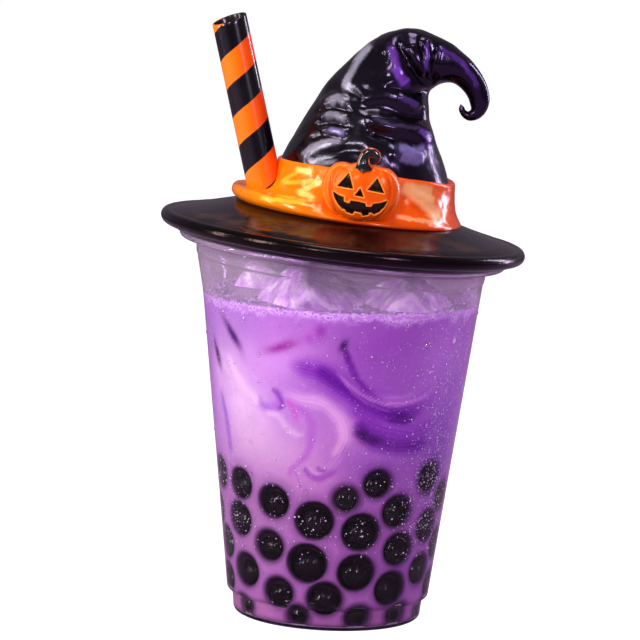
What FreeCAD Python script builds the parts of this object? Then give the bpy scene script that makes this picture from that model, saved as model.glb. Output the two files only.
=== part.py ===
# Bubble tea in a clear plastic cup under a glossy witch-hat lid, with a wide
# striped straw, an orange hatband and a jack-o'-lantern badge.
#
# Frame: origin at the centre of the base, +Z up, +X to the right of the badge
# side, -Y towards the side that the badge faces. Millimetres.
#
# The cup's wall is a cone about Z. Its collar and rim, and the hat that sits on
# them, share one tilted frame: (u, v, w) with its origin at the rim's centre,
# u and w turned about Y by TILT, so that the +u side is the lower one.
import FreeCAD, Part
import math
import os

V = FreeCAD.Vector
os.makedirs("parts", exist_ok=True)

# ---------------------------------------------------------------- dimensions
TILT = 3.8            # degrees, seat of the rim and the hat
RIM_Z = 111.2         # height of the rim's centre
WALL = 0.8            # plastic wall

FOOT_R = 28.3         # foot ring, outside
FOOT_TOP_R = 28.9
FOOT_H = 6.2
BODY_R0, BODY_Z0 = 30.5, 7.4      # wall's foot, above the step
BODY_SLOPE = 0.1236               # radius gained per mm of height
RECESS_R, RECESS_H = 23.0, 2.0    # hollow under the base
FLOOR_T = 1.0

COLLAR_W = -5.6       # the ledge between wall and collar, along w
COLLAR_R0, COLLAR_R1 = 43.4, 43.7
COLLAR_U = -0.35      # the collar's centre, along u
RIM_R, RIM_T = 49.0, 2.2

DRINK_Z = 96.4        # level of the drink
FIT = 0.06            # gap between the drink's solid and the wall

BRIM_R = 54.85
BRIM_U = -0.65        # the brim's centre, along u
BRIM_EDGE_R = 2.1     # half the thickness of the rolled edge
BRIM_EDGE_W = 4.12
BRIM_LEAN = 0.54      # degrees that the brim leans further than the rim it sits on
BRIM_UNDER_W = 0.5    # underside, let down over the rim

STRAW_R, STRAW_T = 5.25, 0.55
STRAW_U, STRAW_V, STRAW_W = -25.25, -5.0, 16.0   # a point on its axis
STRAW_LEAN = 0.332                              # u lost per mm of w
STRAW_TOP_W = 64.6
STRAW_BOTTOM_W = 0.9

BADGE_U, BADGE_V, BADGE_W = 2.9, -31.2, 20.1    # centre of the pumpkin
BADGE_A, BADGE_B, BADGE_D = 11.7, 8.75, 6.6     # half width, half height, half depth
BADGE_LOBES = 8
BADGE_TILT = 1.6      # degrees

TH = math.radians(TILT)
CO, SI = math.cos(TH), math.sin(TH)


def hat(u, v, w):
    """A point of the tilted frame, in the part's frame."""
    return V(u * CO + w * SI, v, RIM_Z - u * SI + w * CO)


def to_hat_frame(shape):
    """A shape drawn in (u, v, w) is turned and lifted to its place."""
    s = shape.copy()
    s.rotate(V(0, 0, 0), V(0, 1, 0), TILT)
    s.translate(V(0, 0, RIM_Z))
    return s


def revolve(profile, cx=0.0):
    """The solid of revolution of a closed (r, z) profile about a vertical line at x = cx."""
    pts = [V(cx + r, 0, z) for r, z in profile]
    face = Part.Face(Part.makePolygon(pts + [pts[0]]))
    return face.revolve(V(cx, 0, 0), V(0, 0, 1), 360)


def arc_points(cx, cz, r, a0, a1, n):
    return [(cx + r * math.cos(math.radians(a0 + (a1 - a0) * i / n)),
             cz + r * math.sin(math.radians(a0 + (a1 - a0) * i / n))) for i in range(n + 1)]


def closed_wire(points):
    c = Part.BSplineCurve()
    c.interpolate(points, PeriodicFlag=True)
    return Part.Wire([c.toShape()])


def loft(rings, ruled=False):
    return Part.makeLoft([closed_wire(r) for r in rings], True, ruled)


def one_solid(shape):
    """The single solid in a shape, mended if a boolean left a seam."""
    solids = shape.Solids
    s = max(solids, key=lambda x: x.Volume)
    if not s.isValid():
        s.fix(1e-5, 1e-5, 1e-4)
    return s


out = {}

# ---------------------------------------------------------------- cup
def body_r(z):
    return BODY_R0 + BODY_SLOPE * (z - BODY_Z0)


JOIN_Z = 100.0        # where the upright cone meets the tilted top


def flat_ring(r, z):
    return Part.Wire([Part.makeCircle(r, V(0, 0, z), V(0, 0, 1))])


def tilted_ring(r, w, cu):
    return Part.Wire([Part.makeCircle(r, hat(cu, 0, w), V(SI, 0, CO))])


def vessel(profile, top_r, tops):
    """A revolved body below JOIN_Z and the tilted rings above it, as one solid."""
    body = revolve(profile + [(top_r, JOIN_Z), (0, JOIN_Z)])
    head = Part.makeLoft([flat_ring(top_r, JOIN_Z)] + [tilted_ring(*t) for t in tops], True, True)
    return one_solid(body.fuse(head))


outer_profile = [(0, RECESS_H), (RECESS_R, RECESS_H), (RECESS_R + 1.2, 1.0), (RECESS_R + 1.6, 0.3), (RECESS_R + 2.2, 0.0)]
outer_profile += [(FOOT_R - 1.5, 0.0)] + arc_points(FOOT_R - 1.5, 1.5, 1.5, -80, 0, 6)
outer_profile += [(FOOT_TOP_R, FOOT_H), (FOOT_TOP_R + 0.5, FOOT_H + 0.3), (BODY_R0 - 0.4, BODY_Z0 - 0.55), (BODY_R0 - 0.1, BODY_Z0 - 0.2), (BODY_R0, BODY_Z0)]
LEDGE_CU = 0.02       # a plane tilted through the cone cuts it in a ring centred here
outer_tops = [(body_r(105.3), COLLAR_W - 0.3, LEDGE_CU), (COLLAR_R0 - 0.3, COLLAR_W - 0.15, COLLAR_U), (COLLAR_R0, COLLAR_W + 0.4, COLLAR_U), (COLLAR_R1, -2.7, COLLAR_U),
              (COLLAR_R1 + 0.25, -1.9, COLLAR_U), (COLLAR_R1 + 0.9, -1.35, COLLAR_U), (COLLAR_R1 + 2.0, -RIM_T / 2, COLLAR_U)]
outer_tops += [(r, w, COLLAR_U) for r, w in arc_points(RIM_R - 1.1, 0, 1.1, -80, 80, 8)]
outer_tops += [(COLLAR_R1 + 2.4, RIM_T / 2, COLLAR_U)]
cup_out = vessel(outer_profile, body_r(JOIN_Z), outer_tops)

# The inside follows the outside: floor, foot, step and wall.
fin_z = RECESS_H + FLOOR_T
inner_profile = [(0, fin_z), (RECESS_R + 0.6, fin_z), (RECESS_R + 1.7, fin_z - 0.9), (RECESS_R + 2.6, 1.2), (FOOT_R - 2.0, 1.0),
                 (FOOT_R - 1.2, 1.35), (FOOT_R - WALL + 0.02, 2.4), (FOOT_TOP_R - WALL, FOOT_H + 0.35), (BODY_R0 - WALL - 0.5, BODY_Z0 + 0.05), (BODY_R0 - WALL, BODY_Z0 + 0.7)]


def inner_r(z):
    """The wall's inside radius above the step."""
    return BODY_R0 - WALL + BODY_SLOPE * (z - BODY_Z0 - 0.7)


inner_tops = [(inner_r(106.2), COLLAR_W + WALL - 0.2, LEDGE_CU), (COLLAR_R0 - WALL, COLLAR_W + WALL + 0.6, COLLAR_U), (COLLAR_R1 - WALL, -1.6, COLLAR_U),
              (COLLAR_R1 - 0.4, -0.2, COLLAR_U), (COLLAR_R1 + 0.5, 0.8, COLLAR_U), (COLLAR_R1 + 0.7, 3.0, COLLAR_U)]
cup_in = vessel(inner_profile, inner_r(JOIN_Z), inner_tops)
out["cup"] = one_solid(cup_out.cut(cup_in))

# ---------------------------------------------------------------- ice, above the drink's level and under it
ICE = {
    # name: (size x, y, z), (turn about Z, lean about X, lean about Y), centre
    "ice_left": ((22.0, 21.0, 21.0), (24.0, 33.0, 30.0), (-8.4, -17.2, 92.2)),
    "ice_right": ((22.5, 20.0, 20.5), (-18.0, 30.0, -38.0), (19.2, -14.0, 90.6)),
    "ice_back": ((21.0, 21.0, 19.0), (50.0, 24.0, 14.0), (-19.5, 14.5, 92.0)),
}
ICE_ROUND = 3.2
for name, (size, turn, at) in ICE.items():
    b = Part.makeBox(*size, V(-size[0] / 2, -size[1] / 2, -size[2] / 2))
    b = b.makeFillet(ICE_ROUND, b.Edges)
    b.rotate(V(0, 0, 0), V(1, 0, 0), turn[1])
    b.rotate(V(0, 0, 0), V(0, 1, 0), turn[2])
    b.rotate(V(0, 0, 0), V(0, 0, 1), turn[0])
    b.translate(V(*at))
    out[name] = one_solid(b)

# ---------------------------------------------------------------- drink
drink_profile = [(0, fin_z + FIT), (RECESS_R + 0.6, fin_z + FIT), (RECESS_R + 1.75, fin_z - 0.9 + FIT), (RECESS_R + 2.65, 1.2 + FIT), (FOOT_R - 2.0, 1.0 + FIT),
                 (FOOT_R - 1.24, 1.35 + FIT), (FOOT_R - WALL - FIT, 2.45), (FOOT_TOP_R - WALL - FIT, FOOT_H + 0.4), (BODY_R0 - WALL - 0.5 - FIT, BODY_Z0 + 0.1),
                 (BODY_R0 - WALL - FIT, BODY_Z0 + 0.75), (inner_r(DRINK_Z) - FIT, DRINK_Z), (0, DRINK_Z)]
drink = revolve(drink_profile)
for name in ICE:
    drink = drink.cut(out[name])
out["drink"] = one_solid(drink)

# ---------------------------------------------------------------- hat: brim and crumpled crown in one piece
def brim_profile():
    e = BRIM_R - BRIM_EDGE_R
    p = [(0, BRIM_UNDER_W), (RIM_R + 0.5, BRIM_UNDER_W), (RIM_R + 1.3, BRIM_UNDER_W + 0.35), (e - 1.2, BRIM_EDGE_W - BRIM_EDGE_R + 0.1)]
    p += arc_points(e, BRIM_EDGE_W, BRIM_EDGE_R, -80, 106, 14)
    p += [(50.6, 6.6), (48.6, 7.2), (46.0, 7.75), (42.0, 8.75), (38.0, 9.9), (34.0, 11.0), (30.0, 11.9), (27.0, 12.3), (0, 12.3)]
    return p


# The crown's sections, from its foot to the curled tip. Each is an oval between an
# outer and an inner point of the bend, (u, w) and (u, w), with its half depth along v.
SECTIONS = [
    ((-23.4, 8.0), (30.8, 8.0), 27.0), ((-23.2, 13.0), (30.6, 13.0), 26.8), ((-22.7, 18.0), (30.1, 18.0), 26.2), ((-21.7, 24.5), (28.6, 24.0), 24.8),
    ((-19.3, 31.0), (26.0, 30.5), 22.4), ((-16.4, 37.5), (23.1, 36.8), 19.6), ((-13.4, 43.3), (21.4, 41.0), 17.4), ((-10.8, 48.3), (20.9, 44.2), 15.7),
    ((-7.1, 53.4), (20.4, 46.6), 14.1), ((-2.8, 58.6), (20.1, 48.2), 12.6), ((2.6, 63.9), (20.3, 49.3), 11.2), ((9.6, 67.1), (20.8, 50.2), 9.9), ((12.8, 67.75), (21.2, 50.6), 9.3), ((16.0, 67.6), (21.6, 51.0), 8.7),
    ((20.8, 66.2), (22.7, 51.8), 7.6), ((24.8, 64.6), (24.1, 52.4), 6.6), ((28.4, 62.4), (25.6, 52.7), 5.7), ((31.7, 60.1), (27.3, 52.5), 4.9),
    ((34.7, 57.0), (29.0, 51.6), 4.2), ((36.9, 53.7), (30.5, 50.3), 3.6), ((38.2, 50.2), (31.7, 48.8), 3.15), ((38.2, 47.0), (32.4, 47.3), 2.75), ((37.1, 44.4), (32.8, 46.3), 2.4),
    ((35.2, 42.7), (32.9, 45.7), 2.1), ((32.7, 42.1), (32.5, 45.2), 1.8), ((30.6, 43.1), (32.0, 45.1), 1.5), ((29.3, 45.1), (31.4, 45.5), 1.2), ((29.6, 46.9), (31.1, 46.1), 0.9),
]


def smooth(t):
    t = max(0.0, min(1.0, t))
    return t * t * (3 - 2 * t)


def bump(x, c, half):
    """A smooth hill of height 1 at c that ends half away."""
    return smooth(1 - abs(x - c) / half)


def angle_gap(a, b):
    return abs((a - b + 180) % 360 - 180)


# The large crumples: (angle, its half spread, section, its half spread, depth as a share of the radius).
# Angle 0 is the inner side of the bend, 180 the outer, 270 the badge side, 90 the back.
CRUMPLES = [
    (255, 42, 5.2, 1.5, -0.07), (222, 30, 6.2, 1.5, 0.05), (300, 34, 4.8, 1.2, 0.05), (318, 30, 6.3, 1.2, -0.08),
    (290, 40, 8.0, 1.6, 0.05), (100, 50, 6.0, 1.8, -0.06), (60, 40, 7.4, 1.5, 0.05),
    (140, 36, 5.0, 1.3, 0.04), (285, 34, 11.0, 1.6, -0.09), (75, 34, 11.0, 1.6, -0.09), (305, 28, 13.5, 1.4, 0.06), (55, 28, 13.5, 1.4, 0.06),
]


def crumple(angle, station):
    s = 0.0
    for a, da, k, dk, depth in CRUMPLES:
        s += depth * bump(angle_gap(angle, a), 0, da) * bump(station, k, dk)
    return 1 + s


def crown_ring(i, n=28):
    (ou, ow), (iu, iw), depth = SECTIONS[i]
    cu, cw = (ou + iu) / 2, (ow + iw) / 2
    hu, hw = (iu - ou) / 2, (iw - ow) / 2
    ring = []
    for k in range(n):
        t = 2 * math.pi * k / n
        f = crumple(math.degrees(t), i)
        ring.append(V(cu + hu * math.cos(t) * f, depth * math.sin(t) * f, cw + hw * math.cos(t) * f))
    return ring


BEND = 11            # the section where the upright part meets the tail
rings = [crown_ring(i) for i in range(len(SECTIONS))]
crown = loft(rings[:BEND + 1]).fuse(loft(rings[BEND:]))
brim = revolve(brim_profile(), BRIM_U)
brim.rotate(V(0, 0, 0), V(0, 1, 0), BRIM_LEAN)

# The straw's axis and its hole through band and hat.
STRAW_DIR = V(-STRAW_LEAN, 0, 1).normalize()


def straw_point(w):
    return V(STRAW_U - STRAW_LEAN * (w - STRAW_W), STRAW_V, w)


def straw_rod(r, w0, w1):
    a, b = straw_point(w0), straw_point(w1)
    return Part.makeCylinder(r, a.distanceToPoint(b), a, STRAW_DIR)


straw_hole = straw_rod(STRAW_R + 0.08, -12, 80)
hat_raw = one_solid(brim.fuse(crown))
hat_solid = hat_raw.cut(straw_hole)

# ---------------------------------------------------------------- hatband, flared to a lip that holds the straw
# Levels from the foot to the top edge: (w, radius, centre along u, share of the top edge's saddle).
BAND = [(11.0, 33.4, -0.3, 0), (11.9, 34.5, -0.35, 0), (12.9, 34.95, -0.4, 0), (14.1, 34.8, -0.4, 0), (14.9, 34.1, -0.3, 0), (15.0, 33.1, -0.1, 0),
        (14.7, 31.6, 0.9, 0), (14.9, 30.0, 2.1, 0), (15.9, 28.6, 3.2, 0), (18.0, 27.6, 3.85, 0.2), (21.0, 27.0, 4.0, 0.6), (23.6, 26.7, 4.05, 1), (24.3, 26.3, 4.05, 1), (24.4, 25.4, 4.0, 0.9), (23.4, 20.0, 3.9, 0)]
BAND_LEAN = 0.035
BAND_SADDLE = 1.5


def band_ring(w, r, cu, share, n=36):
    ring = []
    for k in range(n):
        t = 2 * math.pi * k / n
        u, v = cu + r * math.cos(t), r * math.sin(t)
        ring.append(V(u, v, w - BAND_LEAN * u + share * BAND_SADDLE * math.sin(t) ** 2))
    return ring


band_raw = loft([band_ring(*b) for b in BAND], True)
band_solid = one_solid(band_raw.cut(hat_raw).cut(straw_hole))

# ---------------------------------------------------------------- pumpkin badge
def badge_ring(k, w, n=48):
    """One level of the lobed body: k is its share of the girth, w its share of the half height."""
    ring = []
    for i in range(n):
        t = 2 * math.pi * i / n
        groove = (1 - abs(math.sin(BADGE_LOBES * t / 2))) ** 2
        lobe = 1 - 0.05 * groove
        ring.append(V(BADGE_A * k * lobe * math.cos(t), BADGE_D * k * lobe * math.sin(t), BADGE_B * w))
    return ring


# Girth and height of each level, from the dimple under the badge to the one round the stalk.
LEVELS = [(0.16, -0.90), (0.30, -0.965), (0.46, -0.985), (0.64, -0.93), (0.81, -0.77), (0.94, -0.48), (1.0, -0.06), (0.965, 0.36), (0.85, 0.68), (0.69, 0.88), (0.50, 0.975), (0.33, 0.985), (0.17, 0.90)]
badge = loft([badge_ring(*x) for x in LEVELS])


def place_badge(s):
    s = s.copy()
    s.rotate(V(0, 0, 0), V(0, 1, 0), BADGE_TILT)
    s.translate(V(BADGE_U, BADGE_V, BADGE_W))
    return s


# The carved face, in the badge's own (u, w): two eyes, a nose and a toothed grin.
EYE_W, EYE_H = 4.7, 4.4
EYE_L, EYE_R_C = (-4.95, 1.65), (4.15, 1.55)
NOSE_W, NOSE_H = 2.7, 2.5
FACE_DEPTH = 1.0


def tri(cx, cz, w, h, lean=0.0):
    return [(cx - w / 2, cz), (cx + w / 2, cz), (cx + lean, cz + h)]


def grin():
    """Upper and lower curves of the mouth, with square teeth left standing."""
    def upper(x):
        return -1.2 + 0.30 * abs(x) ** 1.35 * 0.42 - 0.6
    def lower(x):
        return -5.75 + 0.0655 * x * x
    top_teeth = [(-3.3, 1.9), (3.1, 1.9)]
    low_teeth = [(0.1, 1.7)]
    xs = [-8.1 + 16.2 * i / 36 for i in range(37)]
    up, lo = [], []
    for x in xs:
        y = min(upper(x), 0.4)
        for c, wd in top_teeth:
            if abs(x - c) < wd / 2:
                y -= 1.15
        up.append((x, y))
        y = lower(x)
        for c, wd in low_teeth:
            if abs(x - c) < wd / 2:
                y += 1.05
        lo.append((x, y))
    return [p for p, q in zip(up, lo) if p[1] > q[1] + 0.05] + [q for p, q in list(zip(up, lo))[::-1] if p[1] > q[1] + 0.05]


def prism(poly, v0, v1):
    pts = [V(x, v0, z) for x, z in poly]
    return Part.Face(Part.makePolygon(pts + [pts[0]])).extrude(V(0, v1 - v0, 0))


carved = [tri(EYE_L[0], EYE_L[1] - 0.2, EYE_W, EYE_H, 0.9), tri(EYE_R_C[0], EYE_R_C[1] - 0.2, EYE_W, EYE_H, -0.2), tri(-0.5, -0.4, NOSE_W, NOSE_H, 0.1), grin()]
badge_full = badge.copy()
# A pocket's floor follows the skin: the carving is kept only outside a copy of the body that is FACE_DEPTH nearer its core.
core = badge.copy()
m = FreeCAD.Matrix()
m.scale((BADGE_A - FACE_DEPTH) / BADGE_A, (BADGE_D - FACE_DEPTH) / BADGE_D, (BADGE_B - FACE_DEPTH * 0.7) / BADGE_B)
core = core.transformGeometry(m)
for poly in carved:
    badge = badge.cut(prism(poly, -BADGE_D - 2, 0).cut(core))
badge = place_badge(badge)
badge_block = place_badge(badge_full)
out["pumpkin"] = one_solid(to_hat_frame(one_solid(badge).cut(hat_raw).cut(band_solid)))

# The stalk: a tapered, curled rod standing on the badge, with its foot let into the top.
STALK = [(-0.4, 6.6, 3.1), (-0.55, 7.7, 2.5), (-0.7, 8.9, 1.85), (-0.65, 10.2, 1.6), (-0.3, 11.4, 1.5), (0.5, 12.35, 1.4), (1.55, 12.55, 1.35), (2.55, 12.1, 1.25), (3.1, 11.2, 1.1)]


def stalk_ring(i, n=12):
    u, w, r = STALK[i]
    a, b = STALK[max(i - 1, 0)], STALK[min(i + 1, len(STALK) - 1)]
    du, dw = b[0] - a[0], b[1] - a[1]
    l = math.hypot(du, dw)
    eu, ew = dw / l, -du / l
    return [V(u + eu * r * math.cos(2 * math.pi * k / n), -2.6 + 0.9 * r * math.sin(2 * math.pi * k / n), w + ew * r * math.cos(2 * math.pi * k / n)) for k in range(n)]


stalk = place_badge(loft([stalk_ring(i) for i in range(len(STALK))]))
stalk = one_solid(stalk.cut(badge_block).cut(hat_raw).cut(band_solid))
out["pumpkin_stalk"] = one_solid(to_hat_frame(stalk))

out["hat"] = one_solid(to_hat_frame(hat_solid).cut(out["cup"]))
out["hatband"] = one_solid(to_hat_frame(band_solid))

# ---------------------------------------------------------------- straw
straw = straw_rod(STRAW_R, STRAW_BOTTOM_W - 6, STRAW_TOP_W + 6).cut(straw_rod(STRAW_R - STRAW_T, STRAW_BOTTOM_W - 8, STRAW_TOP_W + 8))
# Its foot is cut level with the hat's underside; its mouth is cut aslant.
straw = straw.cut(Part.makeBox(80, 80, 40, V(-60, -40, STRAW_BOTTOM_W + 0.2 - 40)))
top = straw_point(STRAW_TOP_W)
cut = Part.makeBox(60, 60, 40, V(-30, -30, 0))
cut.rotate(V(0, 0, 0), V(0, 1, 0), -math.degrees(math.atan(STRAW_LEAN)) - 6.0)
cut.rotate(V(0, 0, 0), V(1, 0, 0), 9.0)
cut.translate(top)
out["straw"] = one_solid(to_hat_frame(straw.cut(cut)))

# ---------------------------------------------------------------- write
lo = [1e9] * 3
hi = [-1e9] * 3
for name, shape in out.items():
    bb = shape.BoundBox
    lo = [min(lo[0], bb.XMin), min(lo[1], bb.YMin), min(lo[2], bb.ZMin)]
    hi = [max(hi[0], bb.XMax), max(hi[1], bb.YMax), max(hi[2], bb.ZMax)]
    shape.exportStep("parts/%s.step" % name)
    print("%-14s valid %s solids %d faces %4d volume %.1f mm3" % (name, shape.isValid(), len(shape.Solids), len(shape.Faces), shape.Volume))
print("box", [round(x, 2) for x in lo], [round(x, 2) for x in hi])
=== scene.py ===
import math
import numpy as np
import bpy
from mathutils import Matrix, Vector


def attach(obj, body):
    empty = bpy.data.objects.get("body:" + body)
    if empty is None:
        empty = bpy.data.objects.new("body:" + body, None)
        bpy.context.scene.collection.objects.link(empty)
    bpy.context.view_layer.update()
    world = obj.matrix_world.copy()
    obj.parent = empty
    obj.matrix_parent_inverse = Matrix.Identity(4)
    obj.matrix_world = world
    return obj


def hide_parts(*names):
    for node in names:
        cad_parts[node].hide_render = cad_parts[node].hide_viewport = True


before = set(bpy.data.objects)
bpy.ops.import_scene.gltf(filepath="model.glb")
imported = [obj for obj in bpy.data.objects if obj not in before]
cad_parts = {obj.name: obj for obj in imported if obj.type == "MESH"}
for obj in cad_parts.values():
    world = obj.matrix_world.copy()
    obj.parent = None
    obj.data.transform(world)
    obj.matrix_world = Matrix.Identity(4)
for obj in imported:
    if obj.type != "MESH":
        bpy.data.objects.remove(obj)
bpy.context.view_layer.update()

MM = 0.001
RNG = np.random.default_rng(7)

# ------------------------------------------------------------------ the shared sizes, in millimetres
TILT = 3.8
RIM_Z = 111.2
TH = math.radians(TILT)
CO, SI = math.cos(TH), math.sin(TH)
BODY_R0, BODY_Z0, BODY_SLOPE, WALL = 30.5, 7.4, 0.1236, 0.8
DRINK_Z = 96.4
STRAW_LEAN, STRAW_U, STRAW_V, STRAW_W, STRAW_TOP_W = 0.332, -25.25, -5.0, 16.0, 64.6
BADGE_U, BADGE_V, BADGE_W = 2.9, -31.2, 20.1
BADGE_A, BADGE_B, BADGE_D = 11.7, 8.75, 6.6


def hat(p):
    """Points of the tilted frame (u, v, w) of rim and hat, in the part's frame."""
    p = np.asarray(p, float)
    return np.stack([p[..., 0] * CO + p[..., 2] * SI, p[..., 1], RIM_Z - p[..., 0] * SI + p[..., 2] * CO], -1)


def body_r(z):
    return BODY_R0 + BODY_SLOPE * (z - BODY_Z0)


def inner_r(z):
    return BODY_R0 - WALL + BODY_SLOPE * (z - BODY_Z0 - 0.7)


# ------------------------------------------------------------------ small numeric helpers
def smooth(t):
    t = np.clip(t, 0.0, 1.0)
    return t * t * (3 - 2 * t)


def vnoise(p, seed=0):
    """Value noise from -1 to 1 for points (..., 3)."""
    p = np.asarray(p, float)
    i = np.floor(p).astype(np.int64)
    f = p - i
    f = f * f * f * (f * (f * 6 - 15) + 10)

    def h(dx, dy, dz):
        n = ((i[..., 0] + dx) * 374761393 + (i[..., 1] + dy) * 668265263 + (i[..., 2] + dz) * 1440670441 + seed * 974634777) & 0xFFFFFFFF
        n = ((n ^ (n >> 13)) * 1274126177) & 0xFFFFFFFF
        n = ((n ^ (n >> 16)) * 2246822519) & 0xFFFFFFFF
        return ((n >> 8) & 0xFFFF) / 32767.5 - 1

    out = 0
    for dx in (0, 1):
        for dy in (0, 1):
            for dz in (0, 1):
                wgt = (f[..., 0] if dx else 1 - f[..., 0]) * (f[..., 1] if dy else 1 - f[..., 1]) * (f[..., 2] if dz else 1 - f[..., 2])
                out = out + wgt * h(dx, dy, dz)
    return out


def fbm(p, octaves=4, seed=0):
    s, a, t = 0.0, 1.0, 0.0
    for k in range(octaves):
        s = s + a * vnoise(np.asarray(p) * 2.03 ** k + 17.3 * k, seed + k)
        t += a
        a *= 0.5
    return s / t


def spline(pts, n):
    """A smooth curve through pts, n points evenly spread over its parameter."""
    P = np.asarray(pts, float)
    if len(P) == 1:
        return np.repeat(P, n, 0)
    E = np.vstack([2 * P[0] - P[1], P, 2 * P[-1] - P[-2]])
    t = np.linspace(0, len(P) - 1, n)
    i = np.minimum(t.astype(int), len(P) - 2)
    f = (t - i)[:, None]
    a, b, c, d = E[i], E[i + 1], E[i + 2], E[i + 3]
    return 0.5 * ((2 * b) + (c - a) * f + (2 * a - 5 * b + 4 * c - d) * f ** 2 + (3 * b - a - 3 * c + d) * f ** 3)


def stroke(q, pts, n=48):
    """Distance of points q (N, 2) from a smooth curve, its parameter 0..1 there, and the side (+ or -)."""
    c = spline(pts, n)
    best = np.full(len(q), 1e9)
    par = np.zeros(len(q))
    side = np.zeros(len(q))
    for k in range(n - 1):
        a, b = c[k], c[k + 1]
        ab = b - a
        l2 = float(ab @ ab) + 1e-12
        t = np.clip(((q - a) @ ab) / l2, 0, 1)
        d = q - (a + t[:, None] * ab)
        dist = np.hypot(d[:, 0], d[:, 1])
        m = dist < best
        best[m] = dist[m]
        par[m] = (k + t[m]) / (n - 1)
        side[m] = np.sign(ab[0] * d[m, 1] - ab[1] * d[m, 0])
    return best, par, side


def lin(c):
    """sRGB numbers 0..255 to linear colour."""
    c = np.asarray(c, float) / 255.0
    return np.where(c <= 0.04045, c / 12.92, ((c + 0.055) / 1.055) ** 2.4)


def rgba(c):
    return tuple(float(x) for x in lin(c)) + (1.0,)


# ------------------------------------------------------------------ mesh helpers
def make_object(name, verts, faces, attrs=None, smooth_shade=True):
    """verts in millimetres."""
    me = bpy.data.meshes.new(name)
    me.from_pydata((np.asarray(verts) * MM).tolist(), [], faces.tolist() if hasattr(faces, "tolist") else faces)
    me.update()
    if smooth_shade:
        me.polygons.foreach_set("use_smooth", [True] * len(me.polygons))
    for key, val in (attrs or {}).items():
        val = np.asarray(val, float)
        if val.ndim == 1:
            at = me.attributes.new(key, "FLOAT", "POINT")
            at.data.foreach_set("value", val.astype(np.float32))
        else:
            at = me.attributes.new(key, "FLOAT_COLOR", "POINT")
            col = np.ones((len(val), 4), np.float32)
            col[:, :3] = val
            at.data.foreach_set("color", col.ravel())
    ob = bpy.data.objects.new(name, me)
    bpy.context.scene.collection.objects.link(ob)
    return ob


def tube_faces(rows, cols, first=0, flip=False):
    """Quads of a grid of rows of closed rings."""
    i = np.arange(rows - 1)[:, None]
    j = np.arange(cols)[None, :]
    a = first + i * cols + j
    b = first + i * cols + (j + 1) % cols
    c = first + (i + 1) * cols + (j + 1) % cols
    d = first + (i + 1) * cols + j
    q = np.stack([a, b, c, d], -1).reshape(-1, 4)
    return q[:, ::-1] if flip else q


def lathe_object(name, P, attrs=None, close=True):
    """P (rows, cols, 3): closed rings from one pole to the other. close adds a fan at both ends."""
    rows, cols = P.shape[:2]
    verts = P.reshape(-1, 3)
    faces = tube_faces(rows, cols).tolist()
    at = {k: np.asarray(v).reshape((rows * cols,) + np.asarray(v).shape[2:]) for k, v in (attrs or {}).items()}
    if close:
        verts = np.vstack([verts, P[0].mean(0), P[-1].mean(0)])
        a, b = rows * cols, rows * cols + 1
        for j in range(cols):
            k = (j + 1) % cols
            faces.append([k, j, a])
            faces.append([(rows - 1) * cols + j, (rows - 1) * cols + k, b])
        for k, v in at.items():
            r = v.reshape((rows, cols) + v.shape[1:])
            at[k] = np.concatenate([v, r[0].mean(0)[None], r[-1].mean(0)[None]])
    return make_object(name, verts, faces, at)


def unit_ball(seg=16, rings=10):
    v = [(0, 0, 1)]
    for i in range(1, rings):
        t = math.pi * i / rings
        for j in range(seg):
            p = 2 * math.pi * j / seg
            v.append((math.sin(t) * math.cos(p), math.sin(t) * math.sin(p), math.cos(t)))
    v.append((0, 0, -1))
    f = [[0, 1 + j, 1 + (j + 1) % seg] for j in range(seg)]
    for i in range(rings - 2):
        for j in range(seg):
            a, b = 1 + i * seg + j, 1 + i * seg + (j + 1) % seg
            f.append([a, a + seg, b + seg, b])
    last = len(v) - 1
    f += [[last, 1 + (rings - 2) * seg + (j + 1) % seg, 1 + (rings - 2) * seg + j] for j in range(seg)]
    return np.array(v), f


def balls_object(name, items, seg=16, rings=10, attrs=None, warp=0.0):
    """items: (centre, (x, y, z) axes as a 3x3 matrix of radius vectors). One joined mesh."""
    bv, bf = unit_ball(seg, rings)
    verts, faces, tags = [], [], []
    for n, (c, M) in enumerate(items):
        b = bv
        if warp:
            b = bv * (1 + warp * fbm(bv * 1.7 + 31.7 * n, 2, n % 17))[:, None]
        verts.append(b @ np.asarray(M) + np.asarray(c))
        o = n * len(bv)
        faces += [[o + i for i in f] for f in bf]
        tags.append(np.full(len(bv), n))
    at = {}
    tag = np.concatenate(tags)
    for k, v in (attrs or {}).items():
        at[k] = np.asarray(v)[tag]
    return make_object(name, np.vstack(verts), faces, at)


def fix_normals(ob):
    import bmesh
    bm = bmesh.new()
    bm.from_mesh(ob.data)
    bmesh.ops.recalc_face_normals(bm, faces=bm.faces)
    bm.to_mesh(ob.data)
    bm.free()


# ------------------------------------------------------------------ material helpers
def material(name):
    m = bpy.data.materials.new(name)
    m.use_nodes = True
    nt = m.node_tree
    return m, nt, nt.nodes["Principled BSDF"], nt.nodes["Material Output"]


def node(nt, kind, **props):
    n = nt.nodes.new(kind)
    for k, v in props.items():
        if k.startswith("in_"):
            n.inputs[k[3:]].default_value = v
        else:
            setattr(n, k, v)
    return n


def attribute(nt, name):
    n = nt.nodes.new("ShaderNodeAttribute")
    n.attribute_name = name
    return n


def noise(nt, coord, scale, detail=4.0, rough=0.55, distortion=0.0):
    n = nt.nodes.new("ShaderNodeTexNoise")
    n.inputs["Scale"].default_value = scale
    n.inputs["Detail"].default_value = detail
    n.inputs["Roughness"].default_value = rough
    n.inputs["Distortion"].default_value = distortion
    nt.links.new(coord, n.inputs["Vector"])
    return n


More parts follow.
